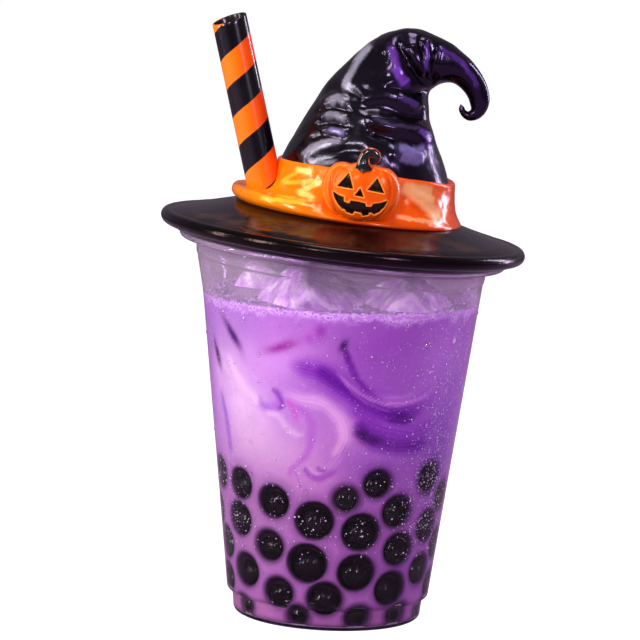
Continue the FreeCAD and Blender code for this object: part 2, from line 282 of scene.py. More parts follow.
def ramp(nt, fac, stops):
    n = nt.nodes.new("ShaderNodeValToRGB")
    els = n.color_ramp.elements
    while len(els) < len(stops):
        els.new(0.5)
    for e, (p, c) in zip(els, stops):
        e.position = p
        e.color = c if len(c) == 4 else tuple(c) + (1.0,)
    nt.links.new(fac, n.inputs["Fac"])
    return n


def mix_rgb(nt, fac, a, b, blend="MIX"):
    n = nt.nodes.new("ShaderNodeMix")
    n.data_type = "RGBA"
    n.blend_type = blend
    for sock, val in ((n.inputs["Factor"], fac), (n.inputs["A"] if False else n.inputs[6], a), (n.inputs[7], b)):
        if hasattr(val, "links") or isinstance(val, bpy.types.NodeSocket):
            nt.links.new(val, sock)
        else:
            sock.default_value = val
    return n.outputs[2]


def bump(nt, height, strength, distance, normal=None):
    n = nt.nodes.new("ShaderNodeBump")
    n.inputs["Strength"].default_value = strength
    n.inputs["Distance"].default_value = distance
    nt.links.new(height, n.inputs["Height"])
    if normal is not None:
        nt.links.new(normal, n.inputs["Normal"])
    return n.outputs["Normal"]


def obj_coord(nt):
    return nt.nodes.new("ShaderNodeTexCoord").outputs["Object"]


def let_lamps_through(nt, out, bsdf, tint=(1, 1, 1, 1), diffuse=True):
    """Glass that lets lamps and scattered light reach what is behind it."""
    lp = nt.nodes.new("ShaderNodeLightPath")
    tr = nt.nodes.new("ShaderNodeBsdfTransparent")
    tr.inputs["Color"].default_value = tint
    mx = nt.nodes.new("ShaderNodeMixShader")
    if diffuse:
        mt = nt.nodes.new("ShaderNodeMath")
        mt.operation = "MAXIMUM"
        nt.links.new(lp.outputs["Is Shadow Ray"], mt.inputs[0])
        nt.links.new(lp.outputs["Is Diffuse Ray"], mt.inputs[1])
        nt.links.new(mt.outputs[0], mx.inputs[0])
    else:
        nt.links.new(lp.outputs["Is Shadow Ray"], mx.inputs[0])
    nt.links.new(bsdf.outputs[0], mx.inputs[1])
    nt.links.new(tr.outputs[0], mx.inputs[2])
    nt.links.new(mx.outputs[0], out.inputs["Surface"])


def finish_piece(ob, mat, slot, *nodes):
    ob.data.materials.append(mat)
    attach(ob, "root")
    if nodes:
        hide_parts(*nodes)
    return ob


# ------------------------------------------------------------------ camera, lights and floor
scene = bpy.context.scene
scene.view_settings.view_transform = "Standard"

ELEV, ROLL = math.radians(7.754), math.radians(2.684)
back = Vector((0, -math.cos(ELEV), math.sin(ELEV)))
right0 = Vector((1, 0, 0))
up0 = Vector((0, math.sin(ELEV), math.cos(ELEV)))
right = right0 * math.cos(ROLL) + up0 * math.sin(ROLL)
up = -right0 * math.sin(ROLL) + up0 * math.cos(ROLL)
loc = Vector((-6.03, 0, 89.13)) * MM + back * 1.0757
cam_data = bpy.data.cameras.new("camera")
cam_data.lens = 3579.0 * 36.0 / 640.0
cam_data.sensor_width = 36.0
cam_data.clip_start = 0.05
cam_data.clip_end = 60.0
cam = bpy.data.objects.new("camera", cam_data)
cam.matrix_world = Matrix(((right.x, up.x, back.x, loc.x), (right.y, up.y, back.y, loc.y), (right.z, up.z, back.z, loc.z), (0, 0, 0, 1)))
scene.collection.objects.link(cam)
scene.camera = cam

world = bpy.data.worlds.new("studio")
world.use_nodes = True
world.node_tree.nodes["Background"].inputs["Color"].default_value = (0.92, 0.74, 0.96, 1)
world.node_tree.nodes["Background"].inputs["Strength"].default_value = 0.19
scene.world = world


def area(name, at, target, size, power, color=(1, 1, 1), spread=180):
    d = bpy.data.lights.new(name, "AREA")
    d.shape = "RECTANGLE"
    d.size, d.size_y = size
    d.energy = power
    d.color = color
    d.spread = math.radians(spread)
    o = bpy.data.objects.new(name, d)
    o.location = at
    o.rotation_euler = (Vector(target) - Vector(at)).to_track_quat("-Z", "Y").to_euler()
    scene.collection.objects.link(o)
    return o


area("key_left", (-0.62, -0.50, 0.40), (0, 0, 0.12), (0.14, 0.42), 4.35)
area("strip_left", (-0.78, -0.12, 0.26), (0, 0, 0.11), (0.05, 0.52), 2.2)
area("rim_right", (0.62, 0.42, 0.30), (0, 0, 0.10), (0.05, 0.50), 2.6, (0.86, 0.74, 1.0))
area("top_soft", (0.05, 0.0, 0.85), (0, 0, 0.1), (0.36, 0.26), 2.6)
area("front_high", (-0.26, -0.95, 0.62), (0, 0, 0.06), (0.11, 0.09), 3.0)
area("kick_right", (0.48, -0.72, 0.44), (0, 0, 0.12), (0.10, 0.22), 3.9, (0.86, 0.74, 1.0))

fl = make_object("floor", [(-9000, -4000, 0), (9000, -4000, 0), (9000, 12000, 0), (-9000, 12000, 0)], [[0, 1, 2, 3]])
m, nt, bs, mo = material("floor_paper")
c = obj_coord(nt)
n1 = noise(nt, c, 3.0, 3)
r1 = ramp(nt, n1.outputs["Fac"], [(0.3, (0.33, 0.225, 0.33)), (0.7, (0.35, 0.24, 0.35))])
nt.links.new(r1.outputs["Color"], bs.inputs["Base Color"])
bs.inputs["Roughness"].default_value = 0.9
bs.inputs["Specular IOR Level"].default_value = 0.05
bs.inputs["Emission Color"].default_value = (1.0, 1.0, 1.0, 1)
lp = nt.nodes.new("ShaderNodeLightPath")
seen = nt.nodes.new("ShaderNodeMapRange")
seen.inputs["To Min"].default_value = 0.02
seen.inputs["To Max"].default_value = 0.97
nt.links.new(lp.outputs["Is Camera Ray"], seen.inputs["Value"])
nt.links.new(seen.outputs[0], bs.inputs["Emission Strength"])
fl.data.materials.append(m)

# ------------------------------------------------------------------ pearls: (angle on the wall, height, visible radius, softness of its edge)
PEARLS = [
    (-142.3, 42.2, 4.3, 0.3), (-120.7, 38.6, 4.6, 0.3), (-98.6, 34.0, 5.5, 0.12), (-83.1, 41.1, 2.9, 1.0), (-67.8, 45.8, 3.7, 0.5), (-55.1, 37.1, 4.2, 0.6),
    (-74.3, 31.0, 5.4, 0.12), (-144.9, 31.2, 4.7, 0.3), (-123.9, 24.9, 4.1, 0.6), (-102.0, 20.8, 5.7, 0.12), (-74.9, 18.5, 5.3, 0.15), (-51.2, 25.3, 4.4, 0.5),
    (-141.6, 15.9, 4.5, 0.5), (-118.6, 10.9, 4.0, 0.6), (-91.6, 10.2, 4.6, 0.5), (-53.2, 13.2, 4.8, 0.3), (-31.1, 17.8, 4.1, 0.5), (-30.5, 31.3, 4.3, 0.5),
    (-35.7, 46.5, 3.5, 1.0), (-163.5, 43.5, 4.0, 0.5), (-162.3, 22.4, 4.3, 0.4), (-164.5, 11.5, 3.9, 0.4), (-18.5, 39.5, 3.9, 0.5), (-14.0, 24.5, 4.1, 0.5), (-13.0, 12.0, 3.9, 0.5),
]
LOW_PEARLS = [(-107.5, 4.3, 2.3, 1.0), (-71.5, 4.5, 2.9, 0.8), (-44.3, 4.6, 2.5, 1.0), (-147.0, 4.4, 2.1, 1.0), (-17.0, 4.5, 2.3, 1.0)]
back_list = []
tries = 0
while len(back_list) < 26 and tries < 4000:
    tries += 1
    a, z, r = RNG.uniform(2, 190), RNG.uniform(11, 46), RNG.uniform(3.6, 5.6)
    if a > 180:
        a -= 360
    ok = True
    for b, y, s, _ in PEARLS + back_list:
        da = abs((a - b + 180) % 360 - 180) * math.pi / 180 * 34
        if math.hypot(da, z - y) < r + s + 0.9:
            ok = False
            break
    if ok:
        back_list.append((a, z, r, float(RNG.choice([0.15, 0.3, 0.5, 0.9]))))
for k in range(6):
    back_list.append((12 + 31 * k, 4.6, 2.5 + 0.4 * (k % 2), 0.9))
ALL_PEARLS = PEARLS + LOW_PEARLS + back_list

# ------------------------------------------------------------------ the drink
COLS = 416
ang = np.radians(np.concatenate([np.linspace(-185, 5, 308, endpoint=False), np.linspace(5, 175, 108, endpoint=False)]))
IN = 0.28                # the drink reaches this far into the wall


def wall_profile(z):
    """Outer radius of the drink at height z, foot, step and wall."""
    zs = [1.0, 1.5, 2.5, 6.4, 7.0, 7.5, 8.2]
    rs = [26.2, 27.2, 27.75, 28.25, 29.0, 29.5, inner_r(8.2)]
    return np.where(z < 8.2, np.interp(z, zs, rs), inner_r(z)) + IN


zrow = np.concatenate([np.linspace(1.3, 6.4, 10), np.linspace(6.8, 8.2, 4), np.linspace(8.8, 44, 62, endpoint=False), np.linspace(44, 93, 112, endpoint=False), np.linspace(93, 96.2, 8)])
A, Z = np.meshgrid(ang, zrow)
R = wall_profile(Z)
deg = (np.degrees(A) + 180) % 360 - 180
depth = np.zeros_like(R)
dark = np.zeros_like(R)
milk_veil_and_shade = np.zeros_like(R)
ball_items, ball_soft = [], []
for a, z, r, soft in ALL_PEARLS:
    rw = float(wall_profile(np.array(z))) - IN
    s = np.radians((deg - a + 180) % 360 - 180) * rw
    d = np.hypot(s, Z - z)
    big = max(r + 0.35, 5.5) if z > 8 else 3.3
    rim = r * 0.94
    down = big - math.sqrt(max(big * big - rim * rim, 0.01))
    wide = 0.7 + 1.3 * soft
    depth = np.maximum(depth, (down + 0.15) * (1 - smooth((d - rim + 0.1) / wide)))
    # painted shade round each pearl: near black at its edge, partly the pearl seen through the milk, and a wider
    # darkening about 5 mm round it
    dark = np.maximum(dark, (1 - smooth((d - rim - 0.35) / (1.0 + 2.4 * soft))) ** 1.5)
    milk_veil_and_shade = np.maximum(milk_veil_and_shade, 1 - smooth((d - rim) / 5.2))
    tip = rw + IN - 0.12
    ball_items.append(((tip - big) * np.array([math.cos(math.radians(a)), math.sin(math.radians(a)), 0]) + np.array([0, 0, z - (0.1236 * big if z > 8 else 0)]), np.eye(3) * big))
    ball_soft.append(soft)
R = R - depth

TEA_GAIN = 1.02
# Colour of the tea on the wall. s is the distance round the wall from the front, z the height.
S = np.radians((deg + 90 + 180) % 360 - 180) * 38.0
q = np.stack([S.ravel(), Z.ravel()], 1)
pn = np.stack([np.cos(A) * 38, np.sin(A) * 38, Z], -1)
warp1 = fbm(pn / 14.0, 3, 3).ravel()
warp2 = fbm(pn / 14.0 + 9.1, 3, 5).ravel()
qw = q + np.stack([warp1, warp2], 1) * 1.5
fine1 = fbm(pn / 5.0, 3, 11).ravel()
qf = qw + np.stack([fine1, np.roll(fine1, 37)], 1) * 0.45


def D(a):
    """Degrees round the wall from the front, to millimetres."""
    return math.radians(a) * 38.0


tea = np.ones((q.shape[0], 3)) * np.array([168, 103, 204.0])


def patch(centre, size, color, amount=1.0, turn=0.0):
    global tea
    x = qw[:, 0] - D(centre[0])
    y = qw[:, 1] - centre[1]
    c, s = math.cos(math.radians(turn)), math.sin(math.radians(turn))
    u, v = (x * c + y * s) / size[0], (-x * s + y * c) / size[1]
    w = np.exp(-(u * u + v * v) * 0.9)[:, None] * amount
    tea = tea * (1 - w) + np.array(color, float) * w


# Everywhere, broad clouds of lighter and deeper tea, which the front then has in its own places.
cloud = fbm(pn / 22.0, 3, 21).ravel()[:, None]
backside = smooth((np.abs(q[:, 0]) - 52) / 14)[:, None]
tea = tea * (1 - backside) + backside * np.where(cloud > 0, np.array([168, 103, 204.0]) + cloud * np.array([85, 95, 50.0]), np.array([168, 103, 204.0]) + cloud * np.array([85, 95, 60.0]))
for cc, sz, col, am, tn in [
    ((-48, 88), (16, 13), (172, 122, 208), 0.85, 0), ((-20, 90), (14, 10), (190, 122, 212), 0.7, 0), ((-12, 83), (12, 7), (194, 130, 212), 0.8, 0),
    ((30, 85), (26, 14), (140, 62, 172), 0.95, 0), ((20, 78), (10, 9), (150, 80, 186), 0.7, 0), ((52, 82), (13, 15), (184, 122, 218), 0.8, 0),
    ((-50, 66), (11, 13), (232, 192, 240), 1.0, 0), ((-38, 57), (15, 9), (222, 184, 228), 0.95, 0), ((-22, 54), (12, 8), (212, 168, 220), 0.9, 0),
    ((-32, 80), (12, 6), (206, 146, 228), 0.8, 10), ((-60, 74), (8, 10), (226, 186, 238), 0.8, 0), ((-66, 60), (6, 12), (186, 130, 220), 0.6, 0),
    ((3, 59), (9, 8), (178, 112, 194), 0.9, 20), ((-10, 62), (10, 6), (184, 118, 202), 0.75, 0),
    ((-8, 47), (14, 6), (196, 132, 214), 0.7, 0), ((34, 50), (13, 7), (146, 82, 190), 0.7, 0), ((14, 50), (9, 5), (152, 84, 190), 0.8, 0),
    ((58, 52), (9, 18), (118, 62, 170), 0.7, 0), ((-40, 30), (22, 22), (172, 120, 196), 0.8, 0), ((0, 26), (18, 18), (168, 104, 196), 0.7, 0),
    ((38, 24), (18, 18), (146, 84, 184), 0.8, 0), ((-8, 15), (24, 10), (172, 108, 200), 0.6, 0), ((0, 3.5), (60, 5), (160, 96, 178), 0.75, 0), ((-62, 3.5), (18, 5), (178, 118, 190), 0.6, 0),
    ((30, 34), (6, 8), (170, 104, 200), 0.5, 0),
]:
    patch(cc, sz, col, am, tn)


def swirl(pts, width, color, amount, grain=0.35, sharp=1.0, streaks=2.2, ends=(0.15, 0.2), seed=0):
    """A drawn-out streak of another colour, with finer threads along it."""
    global tea
    P = [(D(a), z) for a, z in pts]
    near = (np.abs(q[:, 0]) < 75)
    idx = np.where(near)[0]
    d, t, side = stroke(qf[idx], P)
    w = width * (0.55 + 0.45 * np.sin(np.clip(t, 0, 1) * math.pi) ** 0.7)
    body = 1 - smooth(d / w - (sharp - 1) * 0.3)
    thread = 0.5 + 0.5 * np.sin(d * side * streaks * 2.6 + 4 * vnoise(np.stack([t * 3, d * 0.2, np.full_like(t, seed)], -1), seed) + seed)
    fade = smooth(t / max(ends[0], 1e-3)) * smooth((1 - t) / max(ends[1], 1e-3))
    k = (body * (1 - grain * (1 - thread)) * fade * amount)[:, None]
    tea[idx] = tea[idx] * (1 - k) + np.array(color, float) * k


DEEP, MIDP, PALE, PINK, INK = (84, 6, 138), (120, 34, 172), (232, 182, 236), (196, 76, 196), (52, 8, 82)
# the deep purple river that runs from the middle to the right
swirl([(-24, 80.5), (-14, 79.8), (-6, 77.5), (3, 73.6), (17, 69.0), (32, 67.0), (46, 69.5), (54, 72)], 7.0, MIDP, 0.92, 0.3, ends=(0.15, 0.4), seed=1)
swirl([(-12, 80.2), (-5, 77.6), (4, 73.8), (14, 70.0), (28, 66.5), (44, 67)], 4.4, DEEP, 0.92, 0.35, seed=2)
swirl([(4, 70), (12, 66), (24, 62.5), (40, 61), (54, 64)], 5.4, MIDP, 0.8, 0.4, seed=3)
swirl([(7, 65), (14, 61.2), (24, 58.0), (38, 56.6), (54, 58)], 4.6, DEEP, 0.85, 0.3, seed=4)
swirl([(2, 60), (5, 56.5), (0, 53.5), (-6, 51.5)], 2.4, (126, 44, 172), 0.7, 0.3, ends=(0.25, 0.4), seed=5)
swirl([(22, 64.8), (30, 64.2), (38, 65)], 1.7, (74, 12, 118), 0.7, 0.2, seed=41)
# the dark sunk lumps
for cc, sz, am, tn in [((13.0, 60.6), (2.6, 1.5), 1.0, -20), ((18.6, 59.3), (2.6, 1.2), 0.85, -10), ((1.2, 87.6), (0.9, 1.7), 0.95, -25), ((2.6, 85.2), (0.7, 2.6), 0.6, 20), ((29, 65.9), (3.2, 0.9), 0.55, 0),
                       ((-53.0, 87.4), (1.1, 4.6), 0.95, 38), ((-66.5, 80.6), (1.2, 4.0), 0.95, 22)]:
    patch(cc, sz, (62, 12, 92), am, tn)
patch((-25.4, 85.9), (4.6, 1.25), (146, 44, 150), 0.95, 17)
patch((-8.5, 91.5), (1.5, 2.0), (140, 40, 160), 0.7, 0)
patch((-12.5, 89.0), (1.2, 1.4), (160, 60, 180), 0.5, 0)
# the swirl's eye on the left and its drawn threads
swirl([(-40, 71), (-37, 68.0), (-31, 67.4), (-27.0, 69.6), (-27.6, 72.2), (-31, 73)], 2.6, (160, 92, 206), 0.75, 0.25, seed=6)
swirl([(-31.5, 73.2), (-27.4, 71.8), (-26.0, 68.6), (-29, 66.6)], 1.5, (122, 44, 170), 0.7, 0.2, seed=7)
swirl([(-24, 71.6), (-19, 66.6), (-17.0, 62.4)], 2.0, PINK, 0.75, 0.3, ends=(0.1, 0.5), seed=8)
swirl([(-24.5, 72.2), (-17, 68.6), (-12, 64), (-10.5, 58), (-15, 52.5), (-22, 48.5), (-23, 44.5)], 1.9, (172, 88, 200), 0.65, 0.4, seed=9)
swirl([(-20, 70.6), (-13, 66.4), (-9.4, 60.6), (-12, 54.4), (-19, 50)], 1.5, (176, 96, 202), 0.6, 0.4, seed=10)
swirl([(-36, 66.0), (-28, 64.8), (-20, 61.0), (-12, 60)], 2.0, (232, 194, 238), 0.6, 0.3, seed=11)
swirl([(-29, 74.0), (-20, 71.8), (-9, 69.4), (-1, 66.2), (4.4, 61.2), (3.2, 55.8), (-2.6, 51.6), (-9, 49.6)], 3.6, PALE, 0.75, 0.35, ends=(0.2, 0.35), seed=12)
swirl([(-1, 65.6), (3.4, 61), (2.6, 56.5), (-2, 52.8)], 1.7, (222, 160, 216), 0.7, 0.3, seed=13)
swirl([(-58, 82), (-52, 76), (-44, 70.8), (-36, 67)], 2.6, (236, 200, 244), 0.75, 0.3, seed=14)
swirl([(-66, 70), (-62, 62), (-60, 54), (-59, 50)], 2.0, (148, 84, 200), 0.8, 0.3, seed=15)
swirl([(-60, 48), (-54, 47), (-48, 48)], 1.6, (222, 176, 234), 0.4, 0.3, seed=16)
# the small hook at the bottom
swirl([(-14.4, 50.8), (-12.4, 48.4), (-7.4, 47.6), (-1.0, 48.8), (3.4, 51.8)], 2.0, (140, 60, 182), 0.75, 0.25, ends=(0.1, 0.35), seed=17)
swirl([(-8.6, 51.6), (-6.6, 49.9), (-3.0, 50.4)], 1.4, (134, 54, 176), 0.7, 0.2, seed=18)
swirl([(-19.5, 51.5), (-18.5, 46.6), (-16, 43)], 0.7, (168, 96, 206), 0.7, 0.3, seed=19)
swirl([(-12.5, 51.2), (-9.8, 49.4), (-5.0, 49.1)], 0.6, (214, 160, 226), 0.7, 0.3, seed=20)
# pale wisps over the river on the right
swirl([(-1.8, 80.4), (3.6, 75.6), (12.4, 72.0), (24, 70.2), (38, 70.6), (50, 74)], 1.5, (206, 140, 224), 0.85, 0.5, streaks=4, seed=21)
swirl([(2.5, 79.5), (9, 75.0), (18, 72.4), (30, 71.8), (42, 73.6)], 1.7, (190, 122, 216), 0.75, 0.5, streaks=4, seed=22)
swirl([(0.5, 77.4), (7, 72.2), (17, 69.2), (27, 67.6)], 0.8, (190, 116, 214), 0.6, 0.4, seed=23)
swirl([(16, 66), (26, 62.8), (38, 62.0), (50, 64.5)], 0.9, (150, 78, 196), 0.6, 0.4, seed=24)
swirl([(1.6, 86.5), (3.8, 83.0), (5.6, 79.2), (9.5, 75.6), (16, 72.6), (24, 71)], 2.0, (98, 16, 146), 0.85, 0.2, ends=(0.05, 0.4), seed=25)
# calmer streaks round the back, so that every side is marbled
for k in range(26):
    a0 = 66 + 9.2 * k + RNG.uniform(-3, 3)
    z0 = RNG.uniform(50, 90)
    slope_ = RNG.uniform(-3.2, 1.2)
    steps = [(a0 + 9 * i + RNG.uniform(-2, 2), z0 + slope_ * i + RNG.uniform(-1.6, 1.6)) for i in range(5)]
    colr = [DEEP, MIDP, PALE, (206, 140, 224), PINK][k % 5]
    P = [(D(a), z) for a, z in steps]
    sx = np.where(q[:, 0] < 0, qf[:, 0] + 2 * math.pi * 38.0, qf[:, 0])
    use = np.where(np.abs(q[:, 0]) > 62)[0]
    d, t, side = stroke(np.stack([sx[use], qf[use, 1]], 1), P, 28)
    kk = ((1 - smooth(d / RNG.uniform(2.6, 7.0))) * smooth(t / 0.2) * smooth((1 - t) / 0.2) * 0.75)[:, None]
    tea[use] = tea[use] * (1 - kk) + np.array(colr, float) * kk

# lighter froth under the surface, bubbly speckles on the left, and painted shade round the pearls, partly the black
# pearls seen through the milk
froth = smooth((Z.ravel() - 93.6 + 1.5 * warp1 + 2.2 * fbm(pn / 2.4, 2, 77).ravel()) / 2.4)[:, None]
tea = tea * (1 - 0.6 * froth) + np.array([206, 150, 228.0]) * 0.6 * froth
speck = smooth((vnoise(pn / 0.75, 51).ravel() - 0.45) / 0.3)[:, None]
tea = tea * (1 - 0.06 * speck) + 255 * 0.06 * speck
lowz = 1 - smooth((q[:, 1] - 34) / 30)
tea = tea * np.stack([1 + 0.0 * lowz, 1 - 0.02 * lowz, 0.955 - 0.10 * lowz], 1)
tea = lin(np.clip(tea * TEA_GAIN, 0, 255))
# painted shade: the drink is darkened round and between the pearls, more on the right, near black at each pearl's edge,
# with a purple tinge where that fades
vl = (milk_veil_and_shade.ravel() * (0.55 + 0.25 * smooth((q[:, 0] + 34) / 26)))[:, None]
tea = tea * (1 - vl) + tea * np.array([0.42, 0.34, 0.50]) * vl
dk = dark.ravel()[:, None]
tea = tea * (1 - dk * 0.97) + np.array([0.004, 0.0015, 0.005]) * dk * 0.97
half = smooth(1 - np.abs(dark.ravel() - 0.25) / 0.25)[:, None] * 0.35
tea = tea * (1 - half) + tea * np.array([0.55, 0.35, 0.7]) * half

# the top: from the wall's edge to the middle, low ripples and foam
TOP_ROWS = 26
tr = np.linspace(0, 1, TOP_ROWS)
edge_r = float(inner_r(DRINK_Z)) + IN
top_r = edge_r * (1 - tr ** 0.9)
top_r[-1] = 0.5
TA, TR = np.meshgrid(ang, top_r)
menis = 0.55 * np.exp(-(edge_r - TR) / 0.9)
tp = np.stack([TR * np.cos(TA), TR * np.sin(TA), np.zeros_like(TR)], -1)
TZ = DRINK_Z + menis + 0.28 * fbm(tp / 5.0, 3, 61) + 0.12 * fbm(tp / 1.3, 2, 67)
foam = smooth((fbm(tp / 6.0, 3, 71) + 0.15 + 0.5 * np.exp(-(edge_r - TR) / 4.0)) / 0.35)
ttea = lin(np.clip(np.array([126, 44, 150.0]) * (1 - 0.7 * foam[..., None]) + np.array([206, 150, 222.0]) * 0.7 * foam[..., None], 0, 255))
# the underside: the foot's ring and the raised floor
BR = [(26.4, 1.12), (25.4, 1.35), (24.7, 2.15), (23.6, 3.05), (16, 3.06), (8, 3.06), (0.5, 3.06)]
bot = np.array([[(r * math.cos(a), r * math.sin(a), z) for a in ang] for r, z in BR])[::-1]
wallp = np.stack([R * np.cos(A), R * np.sin(A), Z], -1)
topp = np.stack([TR * np.cos(TA), TR * np.sin(TA), TZ], -1)
P = np.concatenate([bot, wallp, topp], 0)
C = np.concatenate([np.ones((len(BR), COLS, 3)) * lin([150, 90, 185]), tea.reshape(len(zrow), COLS, 3), ttea], 0)
froth_att = np.concatenate([np.zeros((len(BR), COLS)), froth.reshape(len(zrow), COLS), foam * 0.6], 0)
drink = lathe_object("milk_tea", P, {"tea": C, "froth": froth_att})
m, nt, bs, mo = material("milk_tea")
c = obj_coord(nt)
n1 = noise(nt, c, 900.0, 3)
n2 = noise(nt, c, 140.0, 4, 0.6, 0.4)
base = attribute(nt, "tea").outputs["Color"]
v1 = ramp(nt, n2.outputs["Fac"], [(0.25, (0.93, 0.93, 0.94)), (0.75, (1.05, 1.05, 1.04))])
base = mix_rgb(nt, 1.0, base, v1.outputs["Color"], "MULTIPLY")
vor = nt.nodes.new("ShaderNodeTexVoronoi")
vor.inputs["Scale"].default_value = 720.0
nt.links.new(c, vor.inputs["Vector"])
cells = ramp(nt, vor.outputs["Distance"], [(0.10, rgba((150, 76, 184))), (0.26, rgba((186, 120, 212))), (0.40, rgba((236, 200, 246))), (0.62, rgba((196, 134, 220)))])
fm = nt.nodes.new("ShaderNodeMath")
fm.operation = "MULTIPLY"
nt.links.new(attribute(nt, "froth").outputs["Fac"], fm.inputs[0])
fm.inputs[1].default_value = 0.75
base = mix_rgb(nt, fm.outputs[0], base, cells.outputs["Color"])
nt.links.new(base, bs.inputs["Base Color"])
bs.inputs["Roughness"].default_value = 0.32
bs.inputs["IOR"].default_value = 1.31
bs.inputs["Specular IOR Level"].default_value = 0.12
nt.links.new(bump(nt, n1.outputs["Fac"], 0.10, 0.0002), bs.inputs["Normal"])
finish_piece(drink, m, "milk_tea", "drink")

# pearls
mats = []
for k, (cen, M) in enumerate(ball_items):
    mats.append((cen, M @ np.diag([1.0, 1.0, RNG.uniform(0.93, 1.0)])))
pearls = balls_object("tapioca_pearls", mats, 36, 24, {"soft": ball_soft}, warp=0.03)
m, nt, bs, mo = material("tapioca")
c = obj_coord(nt)
n1 = noise(nt, c, 260.0, 4, 0.6)
r1 = ramp(nt, n1.outputs["Fac"], [(0.3, rgba((3, 1, 3))), (0.55, rgba((6, 3, 4))), (0.8, rgba((16, 8, 8)))])
nt.links.new(r1.outputs["Color"], bs.inputs["Base Color"])
r2 = ramp(nt, n1.outputs["Fac"], [(0.3, (0.07, 0.07, 0.07)), (0.8, (0.16, 0.16, 0.16))])
nt.links.new(r2.outputs["Color"], bs.inputs["Roughness"])
bs.inputs["Specular IOR Level"].default_value = 0.16
nt.links.new(bump(nt, n1.outputs["Fac"], 0.12, 0.0002), bs.inputs["Normal"])
finish_piece(pearls, m, "milk_tea")

# ------------------------------------------------------------------ the clear cup
CUP_COLS = 224
cang = np.linspace(0, 2 * math.pi, CUP_COLS, endpoint=False)


def cup_ring(r, z=None, w=None, cu=0.0):
    """A ring at height z, or at w in the rim's tilted frame."""
    if w is None:
        return np.stack([r * np.cos(cang), r * np.sin(cang), np.full(CUP_COLS, float(z))], -1)
    return hat(np.stack([cu + r * np.cos(cang), r * np.sin(cang), np.full(CUP_COLS, float(w))], -1))


def arc(cx, cy, r, a0, a1, n):
    return [(cx + r * math.cos(math.radians(a)), cy + r * math.sin(math.radians(a))) for a in np.linspace(a0, a1, n)]


outer = [(0.6, 2.0), (12, 2.0), (23, 2.0), (23.8, 1.4), (24.3, 0.75), (24.9, 0.12), (25.6, 0.0), (26.8, 0.0)] + arc(26.8, 1.5, 1.5, -70, 0, 7)
outer += [(28.5, 3.4), (28.7, 5.0), (28.9, 6.2), (29.1, 6.42), (29.5, 6.56), (29.95, 6.75), (30.25, 7.0), (30.42, 7.22), (30.5, 7.5)]
rings = [cup_ring(r, z) for r, z in outer]
top_join = 97.5
for z in np.linspace(9.5, top_join, 44):
    rings.append(cup_ring(body_r(z), z))
# above the drink the wall swings over into the tilted frame of the rim
J = cup_ring(body_r(top_join), top_join)
K = cup_ring(43.1, w=-5.75, cu=-0.35)
for t in (0.2, 0.4, 0.6, 0.8, 0.93):
    rings.append(J * (1 - t) + K * t + np.array([0, 0, 0]))
for r, w in [(43.1, -5.75), (43.32, -5.5), (43.4, -5.2), (43.5, -4.2), (43.7, -2.7), (43.82, -2.15), (43.95, -1.9), (44.25, -1.6), (44.6, -1.35), (45.2, -1.16), (45.8, -1.08), (46.9, -1.06)] + arc(47.9, 0, 1.08, -78, 80, 12) + [(47.0, 1.1), (46.1, 1.1), (45.2, 1.02), (44.4, 0.85), (43.8, 0.45)]:
    rings.append(cup_ring(r, w=w, cu=-0.35))
n_out = len(rings)
for r, w in [(43.3, -0.2), (43.1, -0.9), (42.9, -1.6), (42.75, -3.0), (42.6, -4.3)]:
    rings.append(cup_ring(r, w=w, cu=-0.35))
Ki = cup_ring(42.55, w=-4.7, cu=-0.33)
Ji = cup_ring(inner_r(99.6), 99.6)
for t in (0, 0.25, 0.5, 0.75, 1.0):
    rings.append(Ki * (1 - t) + Ji * t)
PULL = 4.6               # where pearls press on it the clear wall is read through to their backs
for z in np.linspace(98.4, 8.6, 56):
    pull = PULL * smooth((z - 8.4) / 3.0) * smooth((60 - z) / 6.0)
    rings.append(cup_ring(inner_r(z) - pull, z))
for r, z in [(29.2, 7.6), (28.5, 7.0), (28.1, 6.4), (27.8, 4.4), (27.52, 2.4), (27.3, 1.7), (27.1, 1.35), (26.7, 1.1), (26.3, 1.0), (25.6, 1.2), (24.7, 2.1), (24.1, 2.7), (23.6, 3.0), (12, 3.0), (0.6, 3.0)]:
    rings.append(cup_ring(r, z))
CP = np.array(rings)
# pressed plastic is never quite true: the outer wall carries a slight waviness
wob = 0.05 * fbm(CP / np.array([16.0, 16.0, 30.0]), 2, 91)
nrm = np.stack([np.cos(cang), np.sin(cang), np.zeros(CUP_COLS)], -1)[None]
mask = np.zeros(len(rings))
mask[20:66] = 1
CP = CP - nrm * (np.abs(wob) * mask[:, None])[..., None]
cup = lathe_object("clear_cup", CP)
m, nt, bs, mo = material("clear_plastic")
c = obj_coord(nt)
mp = node(nt, "ShaderNodeMapping")
mp.inputs["Scale"].default_value = (1, 1, 0.22)
nt.links.new(c, mp.inputs["Vector"])
n1 = noise(nt, mp.outputs["Vector"], 42.0, 3, 0.5)
n2 = noise(nt, c, 1500.0, 2, 0.5)
tint = ramp(nt, n1.outputs["Fac"], [(0.3, (0.975, 0.962, 0.985)), (0.7, (0.995, 0.99, 1.0))])
rr = ramp(nt, n2.outputs["Fac"], [(0.35, (0.015, 0.015, 0.015)), (0.75, (0.05, 0.05, 0.05))])
nt.links.new(rr.outputs["Color"], bs.inputs["Roughness"])
zc = nt.nodes.new("ShaderNodeSeparateXYZ")
nt.links.new(c, zc.inputs[0])
film = nt.nodes.new("ShaderNodeMapRange")
film.inputs["From Min"].default_value = 0.0962
film.inputs["From Max"].default_value = 0.0985
film.inputs["To Min"].default_value = 0.0
film.inputs["To Max"].default_value = 1.0
nt.links.new(zc.outputs[2], film.inputs["Value"])
patchy = ramp(nt, n1.outputs["Fac"], [(0.35, (0.03, 0.03, 0.03)), (0.65, (0.16, 0.16, 0.16))])
amount = nt.nodes.new("ShaderNodeMath")
amount.operation = "MULTIPLY"
nt.links.new(film.outputs[0], amount.inputs[0])
